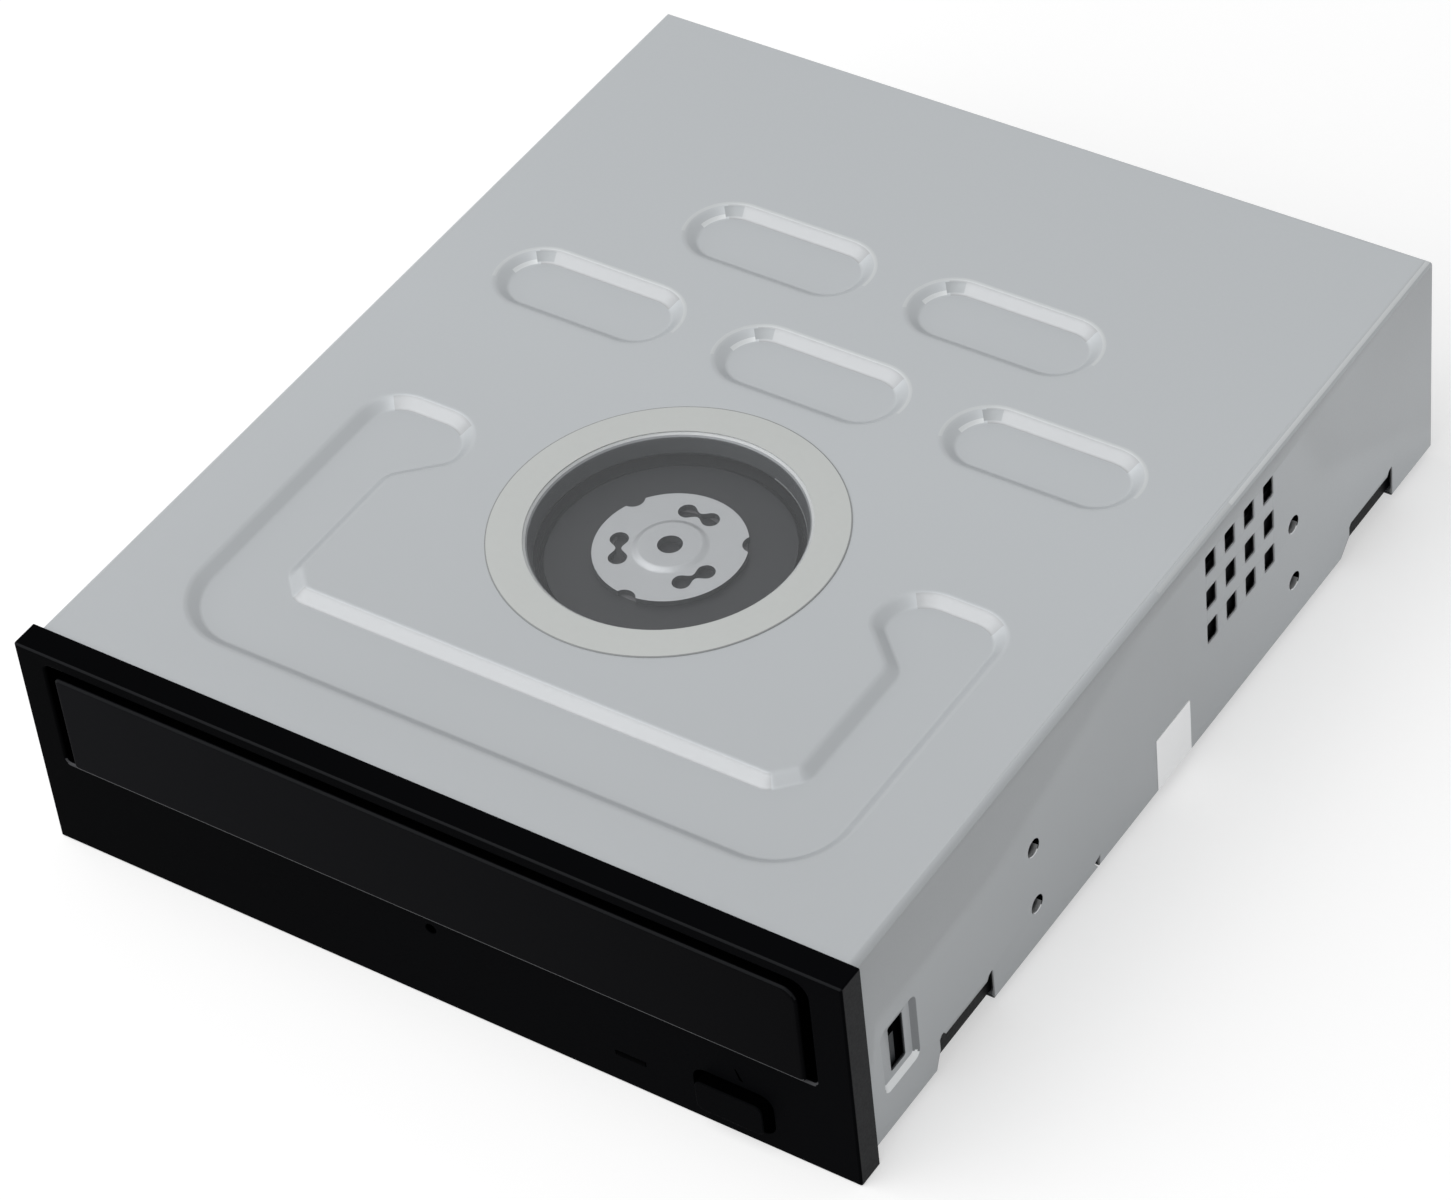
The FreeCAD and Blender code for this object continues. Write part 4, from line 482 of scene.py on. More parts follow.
# Painted shade on the drawn rim below its lip and on the pad's front-facing slope
mid_shade_steel = material("mid_shade_steel", (0.24, 0.25, 0.26), 0.5, tint=0.03, **steel)
# Painted highlight on the upward faces of the side holes and the pad
rim_highlight = material("rim_highlight", (0.80, 0.82, 0.83), 0.35, tint=0.02, **steel)
# Painted highlights, strong and weaker, on the right fold and on the dimples' slopes
bend_glow = material("bend_glow", (0.62, 0.64, 0.65), 0.4, tint=0.02, **steel)
bend_dim = material("bend_dim", (0.53, 0.55, 0.56), 0.42, tint=0.02, **steel)
shade_steel = material("shade_steel", (0.05, 0.054, 0.058), 0.5, metallic=0.3, grain=2600)
# Painted highlight on the lip of the drawn rim
rim_lip_highlight = material("rim_lip_highlight", (0.52, 0.535, 0.54), 0.5, metallic=0.3, grain=2600, tint=0.02)
# Painted shade in a thin line round the film's outer edge
film_edge_shade = material("film_edge_shade", (0.27, 0.28, 0.28), 0.6, tint=0.02)
film_cream = material("film_ring_cream", (0.545, 0.562, 0.55), 0.5, tint=0.02)

# Painted shade and highlights on the slopes of the sunk shapes: finish, drop below the top, angle that they
# face, and least y
SLOPES = (
    (front_slope_shade, (0.12, 1.39), (55, 125), 0),
    (slope_shade, (0.2, 1.1), (48, 80), dimples_y),
    (bend_glow, (0.85, 1.35), (5, 50), dimples_y),
    (bend_dim, (0.001, 0.12), (-25, 190), dimples_y),
)


# Shapes

class Shape:
    """Points in millimetres and faces, gathered before they become one mesh."""

    def __init__(self):
        self.points = []
        self.faces = []

    def add(self, loop):
        start = len(self.points)
        self.points.extend(loop)
        return list(range(start, start + len(loop)))

    def strip(self, loops, closed=True):
        """Bands of four-sided faces between loops that have as many points each."""
        rows = [self.add(loop) for loop in loops]
        for low, high in zip(rows, rows[1:]):
            count = len(low)
            for i in range(count if closed else count - 1):
                j = (i + 1) % count
                self.faces.append((low[i], low[j], high[j], high[i]))

    def fill(self, outer, holes=(), drop=2):
        """Flat face inside a loop, open at its holes. Axis drop is the one that all the points share."""
        loops = [outer] + list(holes)
        flat = [Vector([c for axis, c in enumerate(p) if axis != drop]) for loop in loops for p in loop]
        edges, rings = [], []
        start = 0
        for loop in loops:
            count = len(loop)
            edges += [(start + i, start + (i + 1) % count) for i in range(count)]
            rings.append(flat[start:start + count])
            start += count
        level = outer[0][drop]
        made, _, faces, _, _, _ = delaunay_2d_cdt(flat, edges, [], 1, same_point)
        index = self.add([tuple(list(p)[:drop] + [level] + list(p)[drop:]) for p in made])
        for face in faces:
            middle = sum((made[i] for i in face), Vector((0, 0))) / len(face)
            if inside(middle, rings[0]) and not any(inside(middle, hole) for hole in rings[1:]):
                self.faces.append(tuple(index[i] for i in face))


def inside(p, ring):
    """Whether a flat point lies inside a closed ring of points."""
    found = False
    for a, b in zip(ring, ring[1:] + ring[:1]):
        if (a[1] > p[1]) != (b[1] > p[1]) and p[0] < (b[0] - a[0]) * (p[1] - a[1]) / (b[1] - a[1]) + a[0]:
            found = not found
    return found


def make_piece(name, shape, slot, body, nodes=(), thick=0.0, up=(0, 0, 1), sharp=steel_angle, finish=None):
    """Makes the object from a shape. Its outermost face along up faces that way."""
    mesh = bpy.data.meshes.new(name)
    points = [(x * MM, panel_back + y * MM, z * MM) for x, y, z in shape.points]
    mesh.from_pydata(points, [], shape.faces)
    work = bmesh.new()
    work.from_mesh(mesh)
    bmesh.ops.remove_doubles(work, verts=work.verts, dist=weld_gap)
    bmesh.ops.recalc_face_normals(work, faces=work.faces)
    way = Vector(up)
    outermost = max(work.faces, key=lambda f: f.calc_center_median().dot(way) + hair * abs(f.normal.dot(way)))
    if outermost.normal.dot(way) < 0:
        bmesh.ops.reverse_faces(work, faces=work.faces)
    work.to_mesh(mesh)
    work.free()
    made = bpy.data.objects.new(name, mesh)
    bpy.context.scene.collection.objects.link(made)
    mesh.materials.append(finish or finishes[slot])
    if thick:
        solid = made.modifiers.new("thickness", "SOLIDIFY")
        solid.thickness = thick * MM
        solid.offset = -1
        solid.use_even_offset = True
    mesh.shade_smooth()
    mesh.set_sharp_from_angle(angle=math.radians(sharp))
    weights = made.modifiers.new("normals", "WEIGHTED_NORMAL")
    weights.keep_sharp = True
    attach(made, body)
    if nodes:
        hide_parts(*nodes)
    return made


def paint(made, finish, choose):
    """Gives another finish to the faces chosen by their centre in millimetres and their normal."""
    made.data.materials.append(finish)
    index = len(made.data.materials) - 1
    for face in made.data.polygons:
        x, y, z = face.center
        if choose(x / MM, (y - panel_back) / MM, z / MM, face.normal):
            face.material_index = index


def local(low, high):
    """Ends of a solid along x, y and z, in the millimetres of the shapes."""
    return [((a - zero) / MM, (b - zero) / MM) for a, b, zero in zip(low, high, (0, panel_back, 0))]


def stepped(last, steps):
    """Numbers from zero to the last one, in equal steps."""
    return [last * k / steps for k in range(steps + 1)]


def smooth(t):
    return t * t * (3 - 2 * t)


def rounded(corners, inset=0.0, steps=corner_steps):
    """Points round corners given as (u, v, radius), anticlockwise, drawn in by inset."""
    count = len(corners)
    lines = []
    for i in range(count):
        a, b = Vector(corners[i][:2]), Vector(corners[(i + 1) % count][:2])
        way = (b - a).normalized()
        lines.append((a + Vector((-way.y, way.x)) * inset, way))
    loop = []
    for i in range(count):
        a, u = lines[i - 1]
        b, w = lines[i]
        cross = u.cross(w)
        corner = a + u * ((b - a).cross(w) / cross)
        radius = max(corners[i][2] + (-inset if cross > 0 else inset), least_radius)
        turn = math.atan2(cross, u.dot(w))
        back = radius * math.tan(abs(turn) / 2)
        start = corner - u * back
        side = 1 if cross > 0 else -1
        centre = start + Vector((-u.y, u.x)) * radius * side
        for angle in stepped(turn, steps):
            arm = start - centre
            arm.rotate(Matrix.Rotation(angle, 2))
            loop.append(tuple(centre + arm))
    return loop


def square(u0, u1, v0, v1):
    return [(u0, v0), (u1, v0), (u1, v1), (u0, v1)]


def rectangle(u0, u1, v0, v1, radius):
    return [(u, v, radius) for u, v in square(u0, u1, v0, v1)]


def circle(u, v, radius, steps=circle_steps):
    return [(u + radius * math.cos(2 * math.pi * k / steps), v + radius * math.sin(2 * math.pi * k / steps))
            for k in range(steps)]


def at_z(loop, z):
    return [(u, v, z) for u, v in loop]


def at_x(loop, x):
    return [(x, u, v) for u, v in loop]


def at_y(loop, y):
    return [(u, y, v) for u, v in loop]


def spindle_ring(radius, z, steps=circle_steps):
    return at_z(circle(0, spindle_y, radius, steps), z)


# Top cover

def dimple_places():
    rear = [(side * dimple_pitch_x / 2, dimple_rear_y) for side in (-1, 1)]
    return rear + [(step * dimple_pitch_x, dimple_front_y) for step in (-1, 0, 1)]


def dimple_corners(x, y):
    reach, half = dimple_length / 2, dimple_width / 2
    return rectangle(x - reach, x + reach, y - half, y + half, half - hair)


def channel_corners():
    """U-shaped channel with a hooked end on each arm."""
    arm_x = channel_half - channel_arm
    hook_low_y = channel_rear_y - hook_width
    right = [
        (channel_half, channel_front_y, channel_corner_r),
        (channel_half, channel_rear_y, channel_rear_r),
        (hook_reach_x, channel_rear_y, hook_rear_r),
        (hook_reach_x, hook_low_y, hook_low_r),
        (arm_x, hook_low_y - hook_slant, channel_bend_r),
        (arm_x, channel_inner_y + island_chamfer, island_chamfer_r),
        (arm_x - island_chamfer, channel_inner_y, island_chamfer_r),
    ]
    return right + [(-x, y, r) for x, y, r in reversed(right)]


def slope_profile():
    """Inset and drop of each ring of a sunk shape: a wide round, a straight slope and a tight round."""
    lean = math.radians(emboss_angle)
    both_r = emboss_top_r + emboss_floor_r
    straight = (emboss_depth - both_r * (1 - math.cos(lean))) / math.sin(lean)
    run, fall = straight * math.cos(lean), straight * math.sin(lean)
    angles = stepped(lean, round_steps)
    rings = [(emboss_start + emboss_top_r * math.sin(a), emboss_top_r * (1 - math.cos(a))) for a in angles]
    inset, drop = rings[-1]
    rings += [(inset + run * k / slope_steps, drop + fall * k / slope_steps) for k in range(1, slope_steps)]
    last = emboss_start + both_r * math.sin(lean) + run
    return rings + [(last - emboss_floor_r * math.sin(a), emboss_depth - emboss_floor_r * (1 - math.cos(a)))
                    for a in reversed(angles)]


def sink(shape, corners, steps):
    """Sunk shape with a rounded slope. Returns its outline in the flat sheet."""
    loops = [at_z(rounded(corners, inset, steps), body_top - drop) for inset, drop in slope_profile()]
    shape.strip(loops)
    shape.fill(loops[-1])
    return loops[0]


def film_hole(shape):
    """Hole with its rim drawn down. Returns the outline in the flat sheet."""
    lean = math.radians(rim_lean)
    start = film_hole_r + rim_start
    loops = []
    for angle in stepped(lean, fold_steps):
        z = body_top - rim_round * (1 - math.cos(angle))
        loops.append(spindle_ring(start - rim_round * math.sin(angle), z, ring_steps))
    low = rim_depth - rim_round * (1 - math.cos(lean))
    for k in range(1, fold_steps + 1):
        radius = start - rim_round * math.sin(lean) - low * k / fold_steps / math.tan(lean)
        z = body_top - rim_depth + low * (fold_steps - k) / fold_steps
        loops.append(spindle_ring(radius, z, ring_steps))
    shape.strip(loops)
    return loops[0]


def side_outline():
    """Outline of a side wall in y and z, with the notches of its foot."""
    low = foot_z + foot_bend
    line = [(0, low)]
    for cut in (front_notch, rear_notch):
        start, end, top = cut["start"], cut["end"], notch_top_z + cut["relief"]
        if cut is rear_notch:
            line += [(tab_end_y - tab_cut / 2, low), (tab_end_y - tab_cut, tab_top_z - cut_corner),
                     (tab_end_y, tab_top_z), (tab_end_y - tab_slant, low)]
        ramp = notch_relief + relief_ramp
        line += [(start - cut["slant"], low), (start, cut["slant_z"]), (start, top - cut_corner),
                 (start + cut_corner, top), (start + notch_relief, top), (start + ramp, notch_top_z),
                 (end - ramp, notch_top_z), (end - notch_relief, notch_top_z + peak_side_rise),
                 (end - peak_inset, notch_top_z + peak_rise), (end, notch_top_z + peak_side_rise), (end, low)]
    return line + [(body_depth, low), (body_depth, fold_low_z), (0, fold_low_z)]


def foot_spans():
    """Stretches of the foot along y, between the notches."""
    front, rear = front_notch, rear_notch
    return [(0.0, front["start"] - front["slant"]), (front["end"], tab_end_y - tab_cut / 2),
            (tab_end_y - tab_slant, rear["start"] - rear["slant"]), (rear["end"], body_depth)]


def foot(shape, side):
    """Rounded bend and flange along the lower edge of a side wall."""
    flange_x = side * (half_body - foot_width), side * (half_body - foot_bend)
    for front, rear in foot_spans():
        arcs = []
        for angle in stepped(right_angle, round_steps):
            out = side * (half_body - foot_bend * (1 - math.cos(angle)))
            z = foot_z + foot_bend * (1 - math.sin(angle))
            arcs.append([(out, front, z), (out, rear, z)])
        shape.strip(arcs, closed=False)
        here = [circle(side * bottom_pitch_x / 2, y, bottom_hole_r, hole_steps)
                for y in rows_y if front < y < rear]
        shape.fill(at_z(square(*flange_x, front, rear), foot_z), [at_z(hole, foot_z) for hole in here])


def side_wall(shape, side):
    """Side wall with its fixing holes, a sunk pad with the latch's hole, and the vents of the right one."""
    x = side * half_body
    holes = []
    for y in rows_y:
        for z in holes_z:
            rings = [at_x(circle(y, z, side_hole_r + wider, hole_steps), x - side * deep)
                     for wider, deep in side_hole_rings]
            shape.strip(rings)
            holes.append(rings[0])
    if side > 0:
        for column in range(vent_columns):
            for row in range(vent_rows):
                y, z = vent_first_y + column * vent_pitch_y, vent_first_z + row * vent_pitch_z
                vent = rectangle(y, y + vent_length, z, z + vent_height, vent_corner_r)
                holes.append(at_x(rounded(vent, steps=small_corner_steps), x))
    pad = rectangle(pad_front_y, pad_rear_y, pad_low_z, pad_top_z, pad_corner_r)
    rings = [at_x(rounded(pad, pad_slope * t), x - side * pad_depth * smooth(t))
             for t in stepped(1, fold_steps)]
    shape.strip(rings)
    window = rectangle(latch_hole_y, latch_hole_y + latch_hole_length, latch_hole_z,
                       latch_hole_z + latch_hole_height, latch_hole_r)
    shape.fill(rings[-1], [at_x(rounded(window, steps=small_corner_steps), x - side * pad_depth)], drop=0)
    holes.append(rings[0])
    shape.fill(at_x(side_outline(), x), holes, drop=0)
    foot(shape, side)


def fold(shape):
    """Rounded fold from the flat top down to the side walls and the rear wall, with mitred corners."""
    arcs = []
    for angle in stepped(right_angle, fold_steps):
        push = top_bend * math.sin(angle)
        z = body_top - top_bend * (1 - math.cos(angle))
        x, y = flat_half + push, flat_rear_y + push
        arcs.append([(-x, 0, z), (-x, y, z), (x, y, z), (x, dim_rear_y, z), (x, dim_front_y, z), (x, 0, z)])
    shape.strip(arcs, closed=False)


def make_top_cover():
    shape = Shape()
    holes = [sink(shape, dimple_corners(x, y), dimple_corner_steps) for x, y in dimple_places()]
    holes.append(sink(shape, channel_corners(), channel_corner_steps))
    holes.append(film_hole(shape))
    shape.fill(at_z(square(-flat_half, flat_half, 0, flat_rear_y), body_top), holes)
    fold(shape)
    for side in (-1, 1):
        side_wall(shape, side)
    shape.fill(at_y(square(-half_body, half_body, rear_split_z, fold_low_z), body_depth), drop=1)
    # A sheet of painted shade behind each cut tab
    for side in (-1, 1):
        shape.fill(at_x(square(*tab_shade_y, *tab_shade_z), side * (half_body - tab_shade_inset)), drop=0)
    paint_top_cover(make_piece("case_shell", shape, "case_steel", "root", ["top_cover"], thick=sheet))


def near_spindle(x, y):
    return math.hypot(x, y - spindle_y) < film_hole_r + rim_start - hair


def on_slope(x, y, z, n, start, end):
    """Whether a face slopes, between two drops below the flat top, and isn't part of the outer fold."""
    within = abs(x) < half_body - 2 * top_bend and y < body_depth - 2 * top_bend
    sloping = math.hypot(n.x, n.y) < slope_most_flat and n.z > slope_least_up
    return within and sloping and start < body_top - z < end


def turned(n, start, end):
    """Whether a slope faces between two angles: 0 is to the right, and 90 to the front."""
    return start < (math.degrees(math.atan2(-n.y, n.x)) + 90) % 360 - 90 < end


def on_right_fold(x, n):
    return fold_light_x[0] < n.x < fold_light_x[1] and n.z > fold_light_z and x > flat_half


def in_side_hole(x, y, z):
    reach = side_hole_r + touching
    return (min(abs(y - row) for row in rows_y) < reach and min(abs(z - hole) for hole in holes_z) < reach
            and abs(x) < half_body - near)


def on_pad(x, y, z):
    return abs(x) > half_body - pad_depth - near and y < pad_rear_y + near and pad_low_z < z < pad_top_z


def on_tab_shade(x, y, z):
    return (abs(abs(x) - half_body + tab_shade_inset) < near and tab_shade_y[0] < y < tab_shade_y[1]
            and z < tab_shade_z[1])


def paint_top_cover(made):
    """Painted highlights and shade on the folds, slopes, rims and holes.

    A cut edge of the sheet takes the finish after its face's own in the list, so the painted shade steel
    comes first.
    """
    made.modifiers["thickness"].material_offset_rim = 1
    lip_z, mid_shade_z = body_top - rim_lip, body_top - rim_mid_shade
    light_z = body_top - rim_depth + rim_light_rise
    # Painted shade on the sheet behind the tab, and painted light on the right side wall
    paint(made, shade_steel, lambda x, y, z, n: on_tab_shade(x, y, z) and abs(n.x) > facing)
    paint(made, side_painted_light, lambda x, y, z, n: n.x > facing and x > half_body - touching)
    # Painted shade and highlights on the slopes, by the way they face
    for finish, drops, angles, least_y in SLOPES:
        paint(made, finish, lambda x, y, z, n: y > least_y and on_slope(x, y, z, n, *drops)
              and turned(n, *angles))
    # Painted highlight along the right fold, weaker over its middle stretch
    paint(made, bend_glow, lambda x, y, z, n: on_right_fold(x, n) and y > dim_rear_y)
    paint(made, bend_dim, lambda x, y, z, n: on_right_fold(x, n) and dim_front_y < y < dim_rear_y)
    # Side holes: painted shade on their walls, a painted highlight where they face up
    paint(made, gap_shade, lambda x, y, z, n: in_side_hole(x, y, z) and n.z < side_hole_light_z)
    paint(made, rim_highlight, lambda x, y, z, n: in_side_hole(x, y, z) and n.z > side_hole_light_z)
    # Drawn rim: a painted highlight on its lip, painted shade below, which leaves the bottom of the rim plain
    # on the right
    paint(made, rim_lip_highlight, lambda x, y, z, n: near_spindle(x, y) and z > lip_z)
    paint(made, mid_shade_steel, lambda x, y, z, n: near_spindle(x, y) and lip_z > z > mid_shade_z)
    paint(made, shade_steel, lambda x, y, z, n: near_spindle(x, y) and z < mid_shade_z
          and (x < rim_light_x or z > light_z))
    # Pad: painted shade on its front-facing slope, a painted highlight on its upward faces
    paint(made, mid_shade_steel, lambda x, y, z, n: on_pad(x, y, z) and n.y < -leaning)
    paint(made, rim_highlight, lambda x, y, z, n: on_pad(x, y, z) and n.z > leaning)


make_top_cover()


# Dust film over the hole

def make_film():
    low, high = film_low.z / MM, film_high.z / MM
    clear = Shape()
    faces = [spindle_ring(film_hole_r, z, ring_steps) for z in (low + film_under, high - film_over)]
    clear.strip(faces)
    for face in faces:
        clear.fill(face)
    make_piece("film_window", clear, "film_clear", "root", ["dust_film"])
    ring = Shape()
    profile = [(film_hole_r, low), (film_hole_r, high), (film_r - film_bevel, high),
               (film_r, high - film_bevel_z), (film_r, low), (film_hole_r, low)]
    ring.strip([spindle_ring(r, z, ring_steps) for r, z in profile])
    made = make_piece("film_ring", ring, "film_clear", "root", finish=film_cream)
    # Painted shade in a thin line round the film's outer edge
    paint(made, film_edge_shade, lambda x, y, z, n: math.hypot(x, y - spindle_y) > film_r - film_edge_shade_width)


make_film()


# Clamp plate

def yoke_window(angle):
    """Two wide round ends and a narrow waist, turned about the spindle."""
    half = []
    for k in range(-yoke_window_steps, yoke_window_steps + 1):
        w = window_half * math.sin(math.pi / 2 * k / yoke_window_steps)
        flare = smooth(min(1, abs(w) / window_neck))
        wide = window_waist + (window_end - window_waist) * flare
        over_end = max(0, abs(w) - window_half + window_end) / window_end
        half.append((wide * math.sqrt(max(0, 1 - over_end ** 2)), w))
    loop = half + [(-u, w) for u, w in reversed(half[1:-1])]
    c, s = math.cos(angle), math.sin(angle)
    return [(c * (yoke_window_x + u) - s * w, spindle_y + s * (yoke_window_x + u) + c * w) for u, w in loop]


def yoke_outline():
    """Round plate with three nicks in its edge."""
    outline = []
    away = yoke_r + yoke_nick_out
    half = math.acos((yoke_r ** 2 + away ** 2 - yoke_nick_r ** 2) / (2 * yoke_r * away))
    sweep = math.radians(third_turn) - 2 * half
    for index in range(3):
        middle = math.radians(yoke_nick_angle + third_turn * index)
        nick = (away * math.cos(middle), spindle_y + away * math.sin(middle))
        tips = (middle - half, middle + half)
        ends = [(yoke_r * math.cos(a), spindle_y + yoke_r * math.sin(a)) for a in tips]
        first, last = [math.atan2(p[1] - nick[1], p[0] - nick[0]) for p in ends]
        while last > first:
            last -= 2 * math.pi
        outline += [(nick[0] + yoke_nick_r * math.cos(first + a), nick[1] + yoke_nick_r * math.sin(first + a))
                    for a in stepped(last - first, fold_steps)]
        turns = [middle + half + a for a in stepped(sweep, yoke_steps)[1:-1]]
        outline += [(yoke_r * math.cos(a), spindle_y + yoke_r * math.sin(a)) for a in turns]
    return outline


def make_yoke():
    low, high = yoke_low.z / MM, yoke_high.z / MM
    flat = high - yoke_boss_rise
    outline = yoke_outline()
    windows = [yoke_window(math.radians(yoke_window_angle + third_turn * index)) for index in range(3)]
    shape = Shape()
    boss = [spindle_ring(yoke_boss_r - edge, flat + yoke_boss_rise * smooth(edge / yoke_boss_edge))
            for edge in stepped(yoke_boss_edge, round_steps)]
    shape.strip(boss)
    bore = circle(0, spindle_y, yoke_hole_r)
    shape.fill(boss[-1], [at_z(bore, high)])
    shape.fill(at_z(outline, flat), [boss[0]] + [at_z(w, flat) for w in windows])
    shape.fill(at_z(outline, low), [at_z(bore, low)] + [at_z(w, low) for w in windows])
    shape.strip([at_z(bore, high), at_z(bore, low)])
    for loop in [outline] + windows:
        shape.strip([at_z(loop, flat), at_z(loop, low)])
    made = make_piece("clamp_plate", shape, "inner_steel", "clamp", ["clamp_yoke"])
    # Painted shade on the plate's upright walls: its edge, bore and windows
    paint(made, shade_steel, lambda x, y, z, n: abs(n.z) < leaning)


make_yoke()


# Front panel, door and button

def plate(shape, corners, back, front, edge_r, holes=(), steps=corner_steps):
    """Plate facing the front, with a rounded front edge and plain holes. The front is the lower y."""
    loops = [at_y(rounded(corners, 0, steps), back)]
    for angle in stepped(right_angle, edge_steps):
        inset, depth = edge_r * (1 - math.cos(angle)), edge_r * (1 - math.sin(angle))
        loops.append(at_y(rounded(corners, inset, steps), front + depth))
    shape.strip(loops)
    shape.fill(loops[-1], [at_y(hole, front) for hole in holes], drop=1)


def rim_hole(shape, corners, front, back, edge_r, steps=corner_steps):
    """Hole in a front face, with a rounded rim. Returns its outline in the face."""
    loops = []
    for angle in stepped(right_angle, rim_steps):
        inset, depth = -edge_r * (1 - math.sin(angle)), edge_r * (1 - math.cos(angle))
        loops.append(at_y(rounded(corners, inset, steps), front + depth))
    loops.append(at_y(rounded(corners, 0, steps), back))
    shape.strip(loops)
    return [(u, w) for u, _, w in loops[0]]


def button_corners(inset, radius):
    """Rounded rectangle inside the edge of the button's flange."""
    (x0, x1), _, (z0, z1) = local(button_low, button_high)
    return rectangle(x0 + inset, x1 - inset, z0 + inset, z1 - inset, radius)


def make_panel():
    front, inner = panel_front, panel_inner
    slot = [(-slot_half, slot_low_z, slot_low_r), (slot_right_x, slot_low_z, slot_low_r),
            (slot_right_x, slot_top_z, slot_right_r), (-slot_half, slot_top_z, slot_left_r)]
    button = button_corners(button_flange - button_gap, button_corner_r + button_gap)
    mark = [(mark_x, mark_high_z, mark_corner_r),
            (mark_x + mark_width - mark_tip_x, mark_low_z + mark_tip_z, mark_corner_r),
            (mark_x + mark_width, mark_low_z, mark_corner_r)]
    (x0, x1), _, (z0, z1) = local(pipe_low, pipe_high)
    pipe = rectangle(x0 - pipe_gap_x, x1 + pipe_gap_x, z0 - pipe_gap_z, z1 + pipe_gap_z, pipe_corner_r)
    pin = rectangle(-pin_hole_r, pin_hole_r, pin_hole_z - pin_hole_r, pin_hole_z + pin_hole_r,
                    pin_hole_r - hair)
    shape = Shape()
    holes = [
        rim_hole(shape, slot, front, 0, slot_rim_r),
        rim_hole(shape, button, front, inner, small_rim_r),
        rim_hole(shape, mark, front, front + mark_depth, mark_rim_r, small_corner_steps),
        rim_hole(shape, pipe, front, inner, small_rim_r, small_corner_steps),
        rim_hole(shape, pin, front, inner, pin_rim_r),
    ]
    shape.fill(at_y(rounded(mark, steps=small_corner_steps), front + mark_depth), drop=1)
    outer = rectangle(-panel_half, panel_half, 0, panel_height, panel_corner_r)
    plate(shape, outer, 0, front, panel_edge_r, holes)
    rim = rounded(rectangle(-panel_half + panel_rim, panel_half - panel_rim, panel_rim,
                            panel_height - panel_rim, panel_rim_corner_r))
    shape.fill(at_y(rounded(outer), 0), [at_y(rim, 0)], drop=1)
    shape.strip([at_y(rim, 0), at_y(rim, inner)])
    tunnel = rounded(rectangle(-slot_half - tunnel_wall, slot_half + tunnel_wall, slot_low_z - tunnel_wall,
                               panel_height - panel_rim - tunnel_gap, tunnel_wall))
    back_holes = [tunnel, rounded(button), rounded(pipe, steps=small_corner_steps), rounded(pin)]
    shape.fill(at_y(rim, inner), [at_y(hole, inner) for hole in back_holes], drop=1)
    shape.strip([at_y(tunnel, inner), at_y(tunnel, 0)])
    shape.fill(at_y(tunnel, 0), [at_y(rounded(slot), 0)], drop=1)
    for side in (-1, 1):
        latch(shape, side)
    paint_panel(make_piece("panel_shell", shape, "panel_black", "root", ["front_panel"], up=(0, -1, 0),
                           sharp=plastic_angle, finish=shaded_panel_black))


def on_upper_edge(n):
    return n.z > leaning and edge_front[0] < n.y < edge_front[1]


def paint_panel(made):
    """Painted shade in the holes, weaker painted highlights on the upper edges, a painted highlight on the
    slot's lower lip, a painted reflection on the right end and painted light on the nubs.
    """
    most_x, least_z, most_z = panel_half - panel_margin, panel_margin, panel_height - panel_margin
    edge_y = panel_front + panel_edge_reach
    lip = (slot_low_z - panel_edge_reach, slot_low_z + panel_edge_reach)
    paint(made, gap_shade, lambda x, y, z, n: panel_front + touching < y < 0 and abs(n.y) < near
          and abs(x) < most_x and least_z < z < most_z)
    paint(made, dim_edge_highlight, lambda x, y, z, n: on_upper_edge(n) and y < edge_y and (z > lip[1] or z < least_z))
    paint(made, painted_edge_highlight, lambda x, y, z, n: n.z > slot_highlight_z and n.y < edge_front[1] and y < edge_y
          and lip[0] < z < lip[1])
    paint(made, end_painted_reflection, lambda x, y, z, n: n.x > facing and x > panel_half - near)
    paint(made, nub_painted_light, lambda x, y, z, n: abs(n.x) > facing and y > 0
          and abs(x) > half_body - nub_depth - nub_inside)


def latch(shape, side):
    """Snap arm that runs back inside the case, its nub behind the wall's hole."""
    tip = half_body - nub_depth
    inner, face = tip - latch_back, tip - latch_face
    arm = square(inner, face, latch_front_y, latch_end_y)
    nub = [(face, nub_front_y), (tip, nub_front_y), (tip, nub_rear_y - nub_bevel_y),
           (tip - nub_bevel_x, nub_rear_y), (face, nub_rear_y)]
    for line, z0, z1 in ((arm, latch_low_z, latch_hole_z + latch_hole_height), (nub, nub_low_z, nub_top_z)):
        loops = [[(side * x, y, z) for x, y in line] for z in (z0, z1)]
        shape.strip(loops)
        for loop in loops:
            shape.fill(loop)


def make_door():
    (x0, x1), (front, back), (z0, z1) = local(door_low, door_high)
    corners = [(x0, z0, door_low_r), (x1, z0, door_low_r), (x1, z1, door_right_r), (x0, z1, door_left_r)]
    shape = Shape()
    plate(shape, corners, back, front, door_edge_r, steps=door_corner_steps)
    shape.fill(at_y(rounded(corners, steps=door_corner_steps), back), drop=1)
    made = make_piece("door_shell", shape, "panel_black", "tray", ["tray_door"], up=(0, -1, 0),
                      sharp=plastic_angle)
    # Painted shade on the door's sides, weaker painted highlights on its upper edges and a painted highlight
    # on its lower edge
    paint(made, gap_shade, lambda x, y, z, n: abs(n.y) < near)
    paint(made, dim_edge_highlight, lambda x, y, z, n: on_upper_edge(n))
    paint(made, painted_edge_highlight, lambda x, y, z, n: n.z < door_highlight_z and n.y < door_highlight_y)


